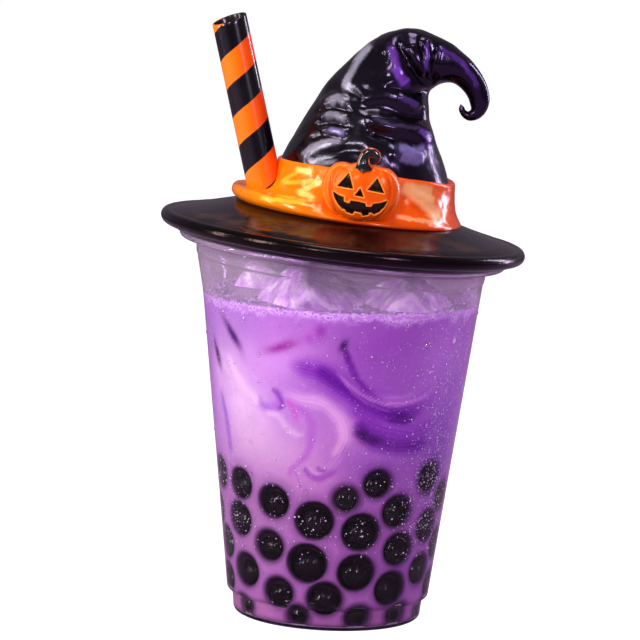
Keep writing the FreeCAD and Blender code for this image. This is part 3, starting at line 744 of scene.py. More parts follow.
nt.links.new(patchy.outputs["Color"], amount.inputs[1])
clear = nt.nodes.new("ShaderNodeMath")
clear.operation = "SUBTRACT"
clear.inputs[0].default_value = 1.0
nt.links.new(amount.outputs[0], clear.inputs[1])
nt.links.new(clear.outputs[0], bs.inputs["Transmission Weight"])
lilac = mix_rgb(nt, film.outputs[0], tint.outputs["Color"], (0.95, 0.80, 0.97, 1))
nt.links.new(lilac, bs.inputs["Base Color"])
bs.inputs["IOR"].default_value = 1.31
nt.links.new(bump(nt, n1.outputs["Fac"], 0.18, 0.0010), bs.inputs["Normal"])
let_lamps_through(nt, mo, bs, (0.97, 0.95, 0.985, 1))
finish_piece(cup, m, "clear_plastic", "cup")

# ------------------------------------------------------------------ ice
def turned(t):
    z, x, y = [math.radians(v) for v in t]
    RX = np.array([[1, 0, 0], [0, math.cos(x), -math.sin(x)], [0, math.sin(x), math.cos(x)]])
    RY = np.array([[math.cos(y), 0, math.sin(y)], [0, 1, 0], [-math.sin(y), 0, math.cos(y)]])
    RZ = np.array([[math.cos(z), -math.sin(z), 0], [math.sin(z), math.cos(z), 0], [0, 0, 1]])
    return RZ @ RY @ RX


def ice_cube(name, size, turn, centre, seed, fillet=2.6, n=54):
    """A half-melted cube: flat faces with round edges, dents and facets."""
    half = np.array(size) / 2.0
    verts, faces = [], []
    g = np.linspace(-1, 1, n)
    g = np.sign(g) * (1 - (1 - np.abs(g)) ** 1.35)
    for axis in range(3):
        for sgn in (-1, 1):
            u, v = np.meshgrid(g, g)
            p = np.zeros(u.shape + (3,))
            p[..., axis] = sgn
            p[..., (axis + 1) % 3] = u
            p[..., (axis + 2) % 3] = v
            o = len(verts) * n * n
            verts.append(p.reshape(-1, 3))
            i = np.arange(n - 1)[:, None]
            j = np.arange(n - 1)[None]
            q4 = np.stack([o + i * n + j, o + i * n + j + 1, o + (i + 1) * n + j + 1, o + (i + 1) * n + j], -1).reshape(-1, 4)
            faces += (q4 if sgn > 0 else q4[:, ::-1]).tolist()
    V = np.vstack(verts) * half
    key = {}
    idx = np.zeros(len(V), int)
    uniq = []
    for k, row in enumerate(np.round(V, 4)):
        t = tuple(row)
        if t not in key:
            key[t] = len(uniq)
            uniq.append(V[k])
        idx[k] = key[t]
    faces = [[int(idx[a]) for a in f] for f in faces]
    V = np.array(uniq)
    core = np.clip(V, -(half - fillet), half - fillet)
    d = V - core
    L = np.linalg.norm(d, axis=1, keepdims=True)
    nrm = d / np.maximum(L, 1e-9)
    V = core + nrm * fillet
    worn = fbm(V / 7.0, 3, seed) * 0.55 + fbm(V / 2.2, 2, seed + 4) * 0.16
    edge = smooth((1 - np.abs(nrm).max(1) - 0.04) / 0.14)
    V = V + nrm * (worn * (1 - 0.6 * edge) - 0.18)[:, None]
    V = V @ turned(turn).T + np.array(centre)
    return V, faces, edge


m, nt, bs, mo = material("ice")
c = obj_coord(nt)
n1 = noise(nt, c, 260.0, 6, 0.62, 0.0)
n2 = noise(nt, c, 1300.0, 3, 0.6)
n3 = noise(nt, c, 75.0, 3, 0.5, 0.8)
white = ramp(nt, n1.outputs["Fac"], [(0.34, rgba((176, 104, 198))), (0.47, rgba((208, 152, 222))), (0.58, rgba((232, 200, 240))), (0.66, rgba((255, 254, 255)))])
face_tone = ramp(nt, n3.outputs["Fac"], [(0.36, (0.95, 0.80, 1.0)), (0.5, (1.4, 1.4, 1.4)), (0.66, (1.9, 2.0, 1.9))])
toned = mix_rgb(nt, 1.0, white.outputs["Color"], face_tone.outputs["Color"], "MULTIPLY")
# painted highlight: the ice's rounded edges are painted near white
em_ = nt.nodes.new("ShaderNodeMath")
em_.operation = "MULTIPLY"
nt.links.new(attribute(nt, "edge").outputs["Fac"], em_.inputs[0])
em_.inputs[1].default_value = 0.75
toned = mix_rgb(nt, em_.outputs[0], toned, rgba((250, 226, 250)))
nt.links.new(toned, bs.inputs["Base Color"])
frost = ramp(nt, n3.outputs["Fac"], [(0.40, (0.45, 0.45, 0.45)), (0.62, (0.12, 0.12, 0.12))])
nt.links.new(frost.outputs["Color"], bs.inputs["Transmission Weight"])
rg = ramp(nt, n2.outputs["Fac"], [(0.35, (0.04, 0.04, 0.04)), (0.7, (0.20, 0.20, 0.20))])
nt.links.new(rg.outputs["Color"], bs.inputs["Roughness"])
bs.inputs["IOR"].default_value = 1.31
hb = bump(nt, n1.outputs["Fac"], 0.3, 0.0010)
hb = bump(nt, n2.outputs["Fac"], 0.35, 0.0004, hb)
nt.links.new(hb, bs.inputs["Normal"])
let_lamps_through(nt, mo, bs, (0.90, 0.86, 0.93, 1))
ICE = [("ice_left", (24.5, 23, 23.5), (24, 33, 30), (-8.6, -16.2, 93.0)), ("ice_right", (24, 21.5, 22.5), (-18, 30, -38), (18.6, -13.2, 91.4)), ("ice_back", (21.5, 21.5, 19.5), (50, 24, 14), (-19.2, 14.2, 92.2))]
for k, (nm, sz, tn, ce) in enumerate(ICE):
    V, F, E_ = ice_cube(nm + "_cube", sz, tn, ce, 101 + 7 * k)
    ob = make_object(nm + "_cube", V, F, {"edge": E_})
    fix_normals(ob)
    finish_piece(ob, m, "ice", nm)

# ------------------------------------------------------------------ froth bubbles, droplets and mist
items = []
for k in range(1500):
    a = RNG.uniform(0, 2 * math.pi)
    u = RNG.random()
    r = RNG.choice([0.22, 0.3, 0.42, 0.6, 0.85], p=[0.3, 0.3, 0.22, 0.13, 0.05]) * RNG.uniform(0.85, 1.15)
    if k < 900:
        rr0 = inner_r(DRINK_Z) - r * 0.35 - abs(RNG.normal(0, 1.0)) * (0.6 if u < 0.6 else 2.2)
    else:
        rr0 = 40 * math.sqrt(RNG.random())
    z = DRINK_Z + 0.45 * math.exp(-(inner_r(DRINK_Z) - rr0) / 0.9) + RNG.uniform(-0.3, 0.35) * r
    p = np.array([rr0 * math.cos(a), rr0 * math.sin(a), z])
    items.append((p, np.diag([r, r, r * 0.8])))
for a, z, r in [(-84.5, 96.0, 1.35), (-80.2, 96.1, 1.05), (-88.2, 96.3, 0.8), (-76.6, 96.5, 0.75), (-108, 96.6, 0.8), (-63, 96.8, 0.7), (-121, 96.8, 0.7)]:
    rr0 = inner_r(z) - r * 0.55
    items.append((np.array([rr0 * math.cos(math.radians(a)), rr0 * math.sin(math.radians(a)), z]), np.diag([r, r, r])))
bub = balls_object("froth_bubbles", items, 9, 6)
m, nt, bs, mo = material("froth")
c = obj_coord(nt)
n1 = noise(nt, c, 500.0, 2)
r1 = ramp(nt, n1.outputs["Fac"], [(0.3, rgba((206, 156, 226))), (0.7, rgba((246, 226, 250)))])
nt.links.new(r1.outputs["Color"], bs.inputs["Base Color"])
bs.inputs["Roughness"].default_value = 0.08
bs.inputs["Transmission Weight"].default_value = 0.62
bs.inputs["IOR"].default_value = 1.25
let_lamps_through(nt, mo, bs, (0.95, 0.9, 0.97, 1))
finish_piece(bub, m, "milk_tea")

drops = []
BIG_DROPS = [(-67.9, 81.9, 0.95), (-50.2, 87.2, 0.8), (-62.9, 87.8, 0.6), (-126.2, 82.4, 0.75), (-112.4, 60.6, 0.9), (-133.2, 55.6, 0.7), (-62.3, 57.4, 0.8), (-46, 73.7, 0.7), (-141.1, 70.1, 0.7), (-118.7, 72.5, 0.55),
             (-107.1, 92.4, 0.6), (-102.9, 42.5, 0.95), (-113.2, 33, 0.6), (-133.5, 45.8, 0.6)]


def drop(a, z, r, flat=0.42, tall=1.15):
    rad = body_r(z) - 0.05
    ca, sa = math.cos(math.radians(a)), math.sin(math.radians(a))
    cen = np.array([rad * ca, rad * sa, z])
    nrm = np.array([ca, sa, -0.1236])
    nrm /= np.linalg.norm(nrm)
    tan = np.array([-sa, ca, 0.0])
    upv = np.cross(nrm, tan)
    return (cen, np.stack([tan * r, upv * r * tall, nrm * r * flat]))


for a, z, r in BIG_DROPS:
    drops.append(drop(a, z, r, 0.5, 1.2))
for k in range(46):
    a, z = RNG.uniform(-180, 180), RNG.uniform(12, 100)
    drops.append(drop(a, z, RNG.uniform(0.3, 0.62), 0.45, RNG.uniform(1.0, 1.3)))
mist = []
for k in range(4600):
    z = RNG.uniform(22, 104)
    u = RNG.random()
    if u < 0.42:
        a = RNG.normal(-33, 10)
    elif u < 0.6:
        a = RNG.normal(-152, 9)
    elif u < 0.72:
        a = RNG.uniform(-140, -45)
    else:
        a = RNG.uniform(-5, 190)
    if 20 > (a + 33) > -30 and z < 30 and RNG.random() < 0.5:
        continue
    mist.append(drop(a, z, RNG.choice([0.10, 0.14, 0.2, 0.28], p=[0.4, 0.33, 0.2, 0.07]) * RNG.uniform(0.8, 1.2), 0.5, 1.0))
dr = balls_object("droplets", drops, 20, 14)
mi_ob = balls_object("fine_mist", mist, 6, 4)
m, nt, bs, mo = material("water_drops")
c = obj_coord(nt)
n1 = noise(nt, c, 700.0, 2)
r1 = ramp(nt, n1.outputs["Fac"], [(0.3, (0.93, 0.91, 0.95)), (0.7, (1, 1, 1))])
nt.links.new(r1.outputs["Color"], bs.inputs["Base Color"])
bs.inputs["Roughness"].default_value = 0.02
bs.inputs["Transmission Weight"].default_value = 1.0
bs.inputs["IOR"].default_value = 1.33
let_lamps_through(nt, mo, bs, (0.98, 0.97, 0.99, 1))
finish_piece(dr, m, "clear_plastic")
# the mist droplets are painted pale and half opaque: partly the mist's own pale look, partly painted glints, so they
# show as light dots
m, nt, bs, mo = material("fine_mist")
c = obj_coord(nt)
n1 = noise(nt, c, 200.0, 2)
r1 = ramp(nt, n1.outputs["Fac"], [(0.3, rgba((206, 170, 226))), (0.7, rgba((252, 240, 255)))])
nt.links.new(r1.outputs["Color"], bs.inputs["Base Color"])
bs.inputs["Roughness"].default_value = 0.12
bs.inputs["Transmission Weight"].default_value = 0.35
bs.inputs["IOR"].default_value = 1.33
finish_piece(mi_ob, m, "clear_plastic")

# ------------------------------------------------------------------ the hat: brim
BRIM_R, BRIM_U, EDGE_R, EDGE_W, UNDER_W = 54.85, -0.65, 2.1, 4.12, 0.5
BC = 320
bang = np.linspace(0, 2 * math.pi, BC, endpoint=False)
prof = [(0.6, UNDER_W), (20, UNDER_W), (38, UNDER_W), (47, UNDER_W), (49.5, UNDER_W), (50.3, 0.85), (50.9, 1.4), (51.55, 2.12), (52.1, 2.2)]
prof += arc(BRIM_R - EDGE_R, EDGE_W, EDGE_R, -72, 112, 26)
top_prof = [(51.2, 6.42), (50.6, 6.62), (49.6, 6.9), (48.6, 7.2), (47.3, 7.46), (46, 7.75), (44, 8.24), (42, 8.75), (40, 9.32), (38, 9.9), (36, 10.45), (34, 11), (32, 11.5), (30, 11.9), (28.4, 12.1), (27, 12.3), (20, 12.3), (0.6, 12.3)]
prof += top_prof
pr = np.array(prof)
BP = np.zeros((len(pr), BC, 3))
lean = math.radians(0.54)
for i, (r, w) in enumerate(pr):
    u = BRIM_U + r * np.cos(bang)
    v = r * np.sin(bang)
    ww = np.full(BC, float(w))
    is_top = i >= len(prof) - len(top_prof) - 8
    if is_top and r > 30:
        k = smooth((r - 30) / 8) * smooth((54.9 - r) / 3.0)
        ww = ww - 0.28 * k * (0.5 + 0.5 * fbm(np.stack([u / 15, v / 15, np.zeros(BC)], -1), 2, 131)) - 0.05 * k * np.abs(fbm(np.stack([u / 3.0, v / 3.0, np.zeros(BC)], -1), 2, 137))
    # the brim leans a little more than the rim
    uu = u * math.cos(lean) + ww * math.sin(lean)
    w2 = -u * math.sin(lean) + ww * math.cos(lean)
    BP[i] = hat(np.stack([uu, v, w2], -1))


def hat_material(name, shine, spec):
    """Deep black glossy leather; its reflections are tinted cool on its left and violet on its right, a painted
    reflection colour.
    """
    m, nt, bs, mo = material(name)
    c = obj_coord(nt)
    n1 = noise(nt, c, 220.0, 5, 0.62, 0.3)
    n2 = noise(nt, c, 1300.0, 3, 0.6)
    n3 = noise(nt, c, 38.0, 3, 0.5)
    grain = ramp(nt, n1.outputs["Fac"], [(0.30, (0.55, 0.55, 0.55)), (0.60, (1.0, 1.0, 1.0)), (0.78, (1.7, 1.7, 1.8))])
    nt.links.new(mix_rgb(nt, 1.0, attribute(nt, "tone").outputs["Color"], grain.outputs["Color"], "MULTIPLY"), bs.inputs["Base Color"])
    # painted reflection colour: the specular tint runs from cool on the left to violet on the right
    side = nt.nodes.new("ShaderNodeSeparateXYZ")
    nt.links.new(c, side.inputs[0])
    mpr = nt.nodes.new("ShaderNodeMapRange")
    mpr.inputs["From Min"].default_value = -0.005
    mpr.inputs["From Max"].default_value = 0.022
    nt.links.new(side.outputs[0], mpr.inputs["Value"])
    tl = tuple(a * b for a, b in zip((0.86, 0.80, 0.96), shine))
    tr_ = tuple(a * b for a, b in zip((0.66, 0.42, 1.0), shine))
    side_tinted_reflection = ramp(nt, mpr.outputs[0], [(0.0, tl), (1.0, tr_)])
    nt.links.new(side_tinted_reflection.outputs["Color"], bs.inputs["Specular Tint"])
    rgh = ramp(nt, n3.outputs["Fac"], [(0.3, (0.13, 0.13, 0.13)), (0.7, (0.24, 0.24, 0.24))])
    nt.links.new(rgh.outputs["Color"], bs.inputs["Roughness"])
    bs.inputs["Specular IOR Level"].default_value = spec
    bs.inputs["Coat Weight"].default_value = 0.0
    hb = bump(nt, n1.outputs["Fac"], 0.18, 0.0006)
    hb = bump(nt, n2.outputs["Fac"], 0.10, 0.0002, hb)
    nt.links.new(hb, bs.inputs["Normal"])
    return m


# ------------------------------------------------------------------ the hat: crown
SECTIONS = [
    ((-23.4, 8), (30.8, 8), 27.0), ((-23.2, 13), (30.6, 13), 26.8), ((-22.7, 18), (30.1, 18), 26.2), ((-21.7, 24.5), (28.6, 24), 24.8), ((-19.3, 31), (26, 30.5), 22.4), ((-16.4, 37.5), (23.1, 36.8), 19.6),
    ((-13.4, 43.3), (21.4, 41), 17.4), ((-10.8, 48.3), (20.9, 44.2), 15.7), ((-7.1, 53.4), (20.4, 46.6), 14.1), ((-2.8, 58.6), (20.1, 48.2), 12.6), ((2.6, 63.9), (20.3, 49.3), 11.2), ((9.6, 67.1), (20.8, 50.2), 9.9),
    ((12.8, 67.75), (21.2, 50.6), 9.3), ((16, 67.6), (21.6, 51), 8.7), ((20.8, 66.2), (22.7, 51.8), 7.6), ((24.8, 64.6), (24.1, 52.4), 6.6), ((28.4, 62.4), (25.6, 52.7), 5.7), ((31.7, 60.1), (27.3, 52.5), 4.9),
    ((34.7, 57), (29, 51.6), 4.2), ((36.9, 53.7), (30.5, 50.3), 3.6), ((38.2, 50.2), (31.7, 48.8), 3.15), ((38.2, 47), (32.4, 47.3), 2.75), ((37.1, 44.4), (32.8, 46.3), 2.4), ((35.2, 42.7), (32.9, 45.7), 2.1),
    ((32.7, 42.1), (32.5, 45.2), 1.8), ((30.6, 43.1), (32, 45.1), 1.5), ((29.3, 45.1), (31.4, 45.5), 1.2), ((29.6, 46.9), (31.1, 46.1), 0.9),
]
rows = np.array([[a[0], a[1], b[0], b[1], d] for a, b, d in SECTIONS])
# even out the steps along the crown
mid = (rows[:, :2] + rows[:, 2:4]) / 2
CROWN_ROWS, CROWN_COLS = 300, 256
fine = spline(rows, (len(rows) - 1) * 24 + 1)
step = np.hypot(*np.diff(np.maximum(fine[:, :2], -1e9), axis=0).T)
cum = np.concatenate([[0], np.cumsum(step)])
want = np.linspace(0, cum[-1], CROWN_ROWS)
sec = np.stack([np.interp(want, cum, fine[:, k]) for k in range(5)], -1)
t = np.linspace(0, 2 * math.pi, CROWN_COLS, endpoint=False)
# angle 0 on the inner side of the bend, 90 at the back, 180 the outer side, 270 the front
cu = (sec[:, 0] + sec[:, 2]) / 2
cw = (sec[:, 1] + sec[:, 3]) / 2
hu = (sec[:, 2] - sec[:, 0]) / 2
hw = (sec[:, 3] - sec[:, 1]) / 2
UU = cu[:, None] + hu[:, None] * np.cos(t)[None]
WW = cw[:, None] + hw[:, None] * np.cos(t)[None]
VV = sec[:, 4][:, None] * np.sin(t)[None]
G = np.stack([UU, VV, WW], -1)


def grid_normals(G):
    du = np.roll(G, -1, 1) - np.roll(G, 1, 1)
    dv = np.gradient(G, axis=0)
    n = np.cross(du, dv)
    return n / np.maximum(np.linalg.norm(n, axis=-1, keepdims=True), 1e-9)


N = grid_normals(G)
cen3 = np.stack([cu, np.zeros_like(cu), cw], -1)[:, None]
sgn = np.sign(((G - cen3) * N).sum(-1).mean())
N = N * sgn
front = VV.ravel() < 0.5
quv = np.stack([UU.ravel(), WW.ravel()], 1)
wn = fbm(G / 6.0, 2, 141).ravel()
quv = quv + np.stack([wn, fbm(G / 6.0 + 5, 2, 143).ravel()], 1) * 0.45
disp = np.zeros(len(quv))


def fold(pts, width, height, side_bias=0.0, ends=(0.18, 0.25), back=False, sharp=1.0):
    """A ridge (height > 0) or a valley (height < 0) drawn along a curve on the crown's face."""
    global disp
    idx = np.where(front if not back else ~front)[0]
    d, tt, sd = stroke(quv[idx], pts, 40)
    w = width * (0.65 + 0.35 * np.sin(np.clip(tt, 0, 1) * math.pi))
    w = w * (1 + side_bias * sd)
    x = d / w
    k = np.exp(-(x ** (2 * sharp)) * 1.1) * smooth(0.25 + tt / max(ends[0], 1e-3)) * smooth(0.25 + (1 - tt) / max(ends[1], 1e-3))
    disp[idx] += height * k


# ridges and valleys that fan out from the bend, and lumps on the left where the cloth bunches
FOLDS = [
    ([(2.6, 62.6), (-1.7, 56.8), (-4.4, 51.4), (-5.9, 46.9)], 2.3, 0.75, 0.0),
    ([(6.0, 61.0), (3.0, 54.6), (0.4, 49.4)], 2.6, -0.75, 0.0),
    ([(-11.6, 42.4), (-7.6, 45.0), (-3.6, 44.7)], 1.9, 1.0, 0.0),
    ([(-11.8, 38.6), (-7.8, 40.6), (-3.5, 39.6)], 1.6, 0.95, 0.0),
    ([(-11.4, 34.8), (-6.6, 36.6), (-2.8, 36.0)], 1.7, 0.9, 0.0),
    ([(-12.8, 40.4), (-8.0, 42.7), (-2.6, 42.3)], 1.0, -0.8, 0.0),
    ([(-13.0, 36.4), (-8.0, 38.5), (-2.6, 38.0)], 1.0, -0.8, 0.0),
    ([(-10.6, 48.0), (-5.4, 48.2), (0.4, 46.2)], 1.6, -0.7, 0.0),
    ([(-16.4, 26.6), (-12.6, 30.0), (-8.4, 32.6), (-3.4, 33.6)], 2.3, 0.95, 0.0),
    ([(-14.6, 32.2), (-9.8, 34.3), (-4.0, 34.2)], 1.0, -0.7, 0.0),
    ([(-13.0, 24.6), (-8.4, 28.4), (-2.4, 30.8), (4.4, 31.0)], 2.3, -0.8, 0.0),
    ([(1.8, 41.1), (7.5, 40.2), (13.8, 39.3), (19.3, 37.6), (22.4, 34.6)], 2.3, 1.45, 0.0),
    ([(2.4, 37.6), (9.4, 36.6), (15.9, 35.4), (20.6, 33.0)], 1.9, -1.35, 0.0),
    ([(-0.6, 44.0), (6.4, 44.8), (12.9, 43.4), (19.0, 41.6)], 2.0, -1.35, 0.0),
    ([(11.0, 48.4), (14.6, 47.0), (18.4, 45.4)], 2.0, 0.95, 0.0),
    ([(9.6, 31.6), (15.2, 32.4), (20.8, 31.6)], 3.2, 1.0, 0.0),
    ([(6.9, 62.4), (8.8, 57.6), (12.0, 52.9)], 2.4, 1.0, 0.0),
    ([(8.6, 63.6), (12.9, 58.2), (18.4, 51.2)], 1.0, -1.35, 0.25),
    ([(12.6, 63.6), (15.4, 59.2), (18.2, 54.4)], 1.8, 1.0, 0.0),
    ([(15.4, 64.8), (17.4, 58.6), (19.2, 51.4)], 1.1, -1.2, 0.0),
    ([(17.9, 65.4), (18.1, 59.6), (19.2, 53.4)], 1.4, 1.15, 0.0),
    ([(20.9, 64.2), (20.6, 57.4), (20.6, 51.4)], 1.1, -1.15, 0.0),
    ([(20.7, 63.2), (26.2, 61.0), (31.2, 57.4), (35.0, 52.0)], 1.7, 0.5, 0.0),
    ([(4.8, 64.0), (9.8, 66.2), (15.8, 66.4)], 1.6, 0.4, 0.0),
    ([(20.3, 49.8), (16.4, 49.4), (11.0, 50.6), (6.0, 50.0)], 1.2, -0.7, 0.0),
]
for pts, width, height, bias in FOLDS:
    fold(pts, width, height, bias)
# the back has folds of its own kind
BR2 = np.random.default_rng(23)
for pts, width, height, bias in FOLDS:
    off = BR2.normal(0, 1.6, 2)
    pp = [(a + off[0], b + off[1]) for a, b in pts]
    fold(pp, width * 1.15, height * 0.9, 0.0, back=True)
taper = smooth((WW.ravel() - 18) / 8) * np.clip(sec[:, 4] / 9.0, 0.18, 1.0).repeat(CROWN_COLS)
seam = 1 - 0.75 * np.exp(-(VV.ravel() / 1.6) ** 2)
small = 0.10 * fbm(G / 3.2, 3, 151).ravel() + 0.28 * fbm(G / 9.0, 2, 157).ravel() * smooth((WW.ravel() - 15) / 10)
lowc = -0.12
out = (disp * taper * seam + small * np.clip(sec[:, 4] / 12.0, 0.12, 1.0).repeat(CROWN_COLS)).reshape(CROWN_ROWS, CROWN_COLS)
# stay inside the crown's outline where it is the edge of the form
out = np.clip(out, -2.0, 0.9)
G2 = G + N * (out + lowc)[..., None]
crown_v = hat(G2)
# painted highlights: pale, lilac and violet streaks are painted along the ridges of the crown's front, over its black
crown_black_and_painted_highlights = np.zeros((len(quv), 3)) + lin(np.array([5, 4, 7.0]))
qg = np.stack([UU.ravel(), WW.ravel()], 1) + 0.7 * np.stack([fbm(G / 2.4, 3, 161).ravel(), fbm(G / 2.4 + 3, 3, 163).ravel()], 1)
gi = np.where(VV.ravel() < 2.0)[0]
PALEG, LILAC, VIOLET = (178, 172, 190), (128, 114, 170), (112, 60, 162)
for pts, wd, colr, am in [
    ([(1.3, 62.1), (-1.7, 57.1), (-4.0, 52.1), (-5.3, 47.8)], 1.25, PALEG, 0.55), ([(-9.0, 43.5), (-6.8, 45.3), (-4.3, 44.4)], 1.3, PALEG, 0.5), ([(-9.7, 39.6), (-6.8, 40.5), (-3.7, 39.1)], 1.1, PALEG, 0.5),
    ([(-8.7, 36.2), (-5.1, 36.0), (-3.4, 35.9)], 1.0, (150, 130, 196), 0.55), ([(-15.1, 27.2), (-12.7, 29.8), (-8.3, 32.4), (-4.3, 33.7)], 1.2, PALEG, 0.55), ([(-14.4, 26.6), (-10.0, 26.8), (-5.6, 27.4)], 1.0, PALEG, 0.4),
    ([(6.9, 62.1), (8.5, 58.2), (10.4, 54.6), (12.9, 52.2)], 1.5, VIOLET, 0.7), ([(8.8, 56.2), (10.9, 53.4), (12.8, 51.9)], 1.6, (118, 60, 176), 0.7), ([(11.2, 48.2), (14.3, 46.5), (16.8, 45.6)], 1.1, (96, 66, 140), 0.6),
    ([(12.4, 33.6), (16.8, 32.6), (20.6, 33.4)], 2.0, LILAC, 0.75), ([(13.0, 30.8), (16.9, 30.0), (20.4, 31.0)], 1.8, LILAC, 0.7), ([(17.6, 38.9), (20.4, 36.6), (21.7, 34.0)], 1.0, (112, 66, 170), 0.75),
    ([(21.2, 63.2), (25.8, 61.2), (30.4, 57.6), (34.2, 52.6)], 0.9, (92, 52, 140), 0.6), ([(17.5, 64.2), (17.7, 59.8), (18.2, 56.4)], 0.7, (104, 60, 160), 0.6), ([(3.8, 40.6), (8.6, 39.7), (13.4, 39.5), (17.6, 38.9)], 0.6, (70, 62, 88), 0.6),
]:
    d, tt, _s = stroke(qg[gi], pts, 28)
    kk = ((1 - smooth((d / wd - 0.35) / 0.8)) * smooth(tt / 0.1 + 0.25) * smooth((1 - tt) / 0.1 + 0.25) * am)[:, None]
    crown_black_and_painted_highlights[gi] = crown_black_and_painted_highlights[gi] * (1 - kk) + lin(np.array(colr, float)) * kk
crown_black_and_painted_highlights = crown_black_and_painted_highlights.reshape(CROWN_ROWS, CROWN_COLS, 3)
m_hat = hat_material("hat_leather", (1.0, 1.0, 1.0), 0.5)
m_brim = hat_material("brim_leather", (0.84, 0.54, 0.44), 0.28)
edge_brim = np.zeros((len(pr), BC, 3)) + lin(np.array([7, 5, 6.0]))
# painted reflection: brown patches in a ring round the brim's top, standing for the orange band reflected in it
band_reflection_patches = smooth((fbm(BP / np.array([9.0, 9.0, 9.0]), 4, 211) - 0.12) / 0.3)
band_reflection_ring = np.exp(-((pr[:, 0] - 46) / 7.0) ** 2)[:, None] * (np.arange(len(pr)) > len(prof) - len(top_prof) - 6)[:, None]
kk = (band_reflection_patches * band_reflection_ring * 0.55)[..., None]
edge_brim = edge_brim * (1 - kk) + lin(np.array([74, 44, 30.0])) * kk
crown = lathe_object("hat_crown", crown_v[:, ::1], {"tone": crown_black_and_painted_highlights})
brim = lathe_object("hat_brim", BP, {"tone": edge_brim})


for ob in (crown, brim, drink, cup):
    fix_normals(ob)
finish_piece(crown, m_hat, "hat_black", "hat")
finish_piece(brim, m_brim, "hat_black", "hat")

# ------------------------------------------------------------------ hat band
BAND_A = [(11, 33.4, -.3), (11.9, 34.5, -.35), (12.9, 34.95, -.4), (14.1, 34.8, -.4), (14.9, 34.1, -.3), (15, 33.1, -.1), (14.7, 31.6, .9), (14.9, 30, 2.1), (15.9, 28.6, 3.2), (18, 27.6, 3.85), (21, 27, 4), (23.6, 26.7, 4.05), (24.3, 26.3, 4.05), (24.4, 25.4, 4), (23.4, 21.5, 3.9)]
BAND_B = [(11, 33.4, -.3), (11.6, 34.3, -.3), (12.3, 34.3, -.3), (13.2, 33.4, 0), (14, 32.4, .5), (15, 31.2, 1.2), (16.2, 30, 2), (17.6, 28.9, 2.8), (19.2, 28.1, 3.3), (21, 27.5, 3.7), (22.6, 27.2, 3.9), (23.8, 27, 4), (24.3, 26.6, 4), (24.4, 26, 4), (23.4, 21.5, 3.9)]
SHARE = [0, 0, 0, 0, 0, 0, 0, 0, .2, .6, .85, 1, 1, .95, .9]
BROWS, BCOLS = 104, 440
ba = spline(np.array([(w, r, c_, s_) for (w, r, c_), s_ in zip(BAND_A, SHARE)]), BROWS)
bb = spline(np.array([(w, r, c_, s_) for (w, r, c_), s_ in zip(BAND_B, SHARE)]), BROWS)
bt = np.linspace(0, 2 * math.pi, BCOLS, endpoint=False)
bdeg = np.degrees(bt)
# the rolled lip runs from beside the badge round the left and the back, and fades out on the right
lip = smooth((262 - bdeg) / 34) * smooth((bdeg - 62) / 40)
prof2 = ba[:, None, :] * lip[None, :, None] + bb[:, None, :] * (1 - lip)[None, :, None]
W, Rr, Cc, Ss = [prof2[..., k] for k in range(4)]
U = Cc + Rr * np.cos(bt)
V_ = Rr * np.sin(bt)
Wd = W - 0.035 * U + Ss * 1.5 * np.sin(bt) ** 2
BG = np.stack([U, V_, Wd], -1)
bn = grid_normals(BG)
if (bn[BROWS // 2] * np.stack([np.cos(bt), np.sin(bt), 0 * bt], -1)).sum() < 0:
    bn = -bn
pf = np.stack([U / 7.0, V_ / 7.0, Wd / 3.5], -1)
ripple = 0.16 * fbm(pf, 3, 171) + 0.05 * fbm(pf * 3.1, 2, 173)
# creases that run slantwise over the band
bu = np.stack([U.ravel(), Wd.ravel()], 1)
cre = np.zeros(len(bu))
for pts, wd, hh in [([(-20.0, 22.0), (-13.5, 20.6), (-9.5, 21.8)], 1.5, 0.35), ([(-21.5, 18.4), (-14.0, 17.2), (-8.6, 17.6)], 1.3, 0.35), ([(-17.5, 14.9), (-12.2, 14.6), (-9.8, 16.0)], 1.2, 0.3),
                    ([(-19.0, 20.2), (-14.0, 19.0), (-9.0, 19.6)], 1.2, -0.3), ([(16.0, 19.6), (20.4, 16.6), (25.6, 13.2)], 1.7, 0.4), ([(17.6, 21.6), (23.0, 19.0), (27.4, 17.8)], 1.5, 0.3), ([(18.4, 17.4), (22.6, 14.2)], 1.3, -0.3)]:
    fr = np.where(V_.ravel() < 0)[0]
    d, tt, _s = stroke(bu[fr], pts, 24)
    cre[fr] += hh * np.exp(-(d / wd) ** 2) * smooth(tt / 0.3 + 0.2) * smooth((1 - tt) / 0.3 + 0.2)
for k in range(11):
    a0 = 20 + 14 * k
    w0 = 14 + 6 * BR2.random()
    s = (np.degrees(bt)[None] - a0 + 0 * W) * 0.5
    line = (Wd - w0) - s * BR2.uniform(-0.5, 0.5)
    cre += (BR2.uniform(-0.28, 0.32) * np.exp(-(line / 1.6) ** 2) * np.exp(-(s / 4.5) ** 2)).ravel()
edge_fade = smooth(np.minimum(np.arange(BROWS), BROWS - 1 - np.arange(BROWS)) / 14.0)[:, None]
BG = BG + bn * ((ripple + cre.reshape(W.shape)) * edge_fade)[..., None]
# painted light and shade: the band is painted yellower on the left, where the key lamp falls, redder on the right, and
# darker towards its lower edge on the right
lit_left_share = smooth((-U + 8) / 34)
low = smooth((15.5 - W) / 4)
bandcol = lin(np.array([248, 94, 2.0])) * (1 - lit_left_share[..., None]) + lin(np.array([255, 142, 2.0])) * lit_left_share[..., None]
bandcol = bandcol * (1 - 0.25 * low[..., None] * (1 - lit_left_share[..., None])) + 0
tone_flat = bandcol.reshape(-1, 3).copy()
bu = np.stack([BG[..., 0].ravel(), BG[..., 2].ravel()], 1)
fr = np.where(BG[..., 1].ravel() < 0)[0]
bw = bu[fr] + 0.35 * np.stack([fbm(BG.reshape(-1, 3)[fr] / 1.6, 2, 191), fbm(BG.reshape(-1, 3)[fr] / 1.6, 2, 193)], 1)
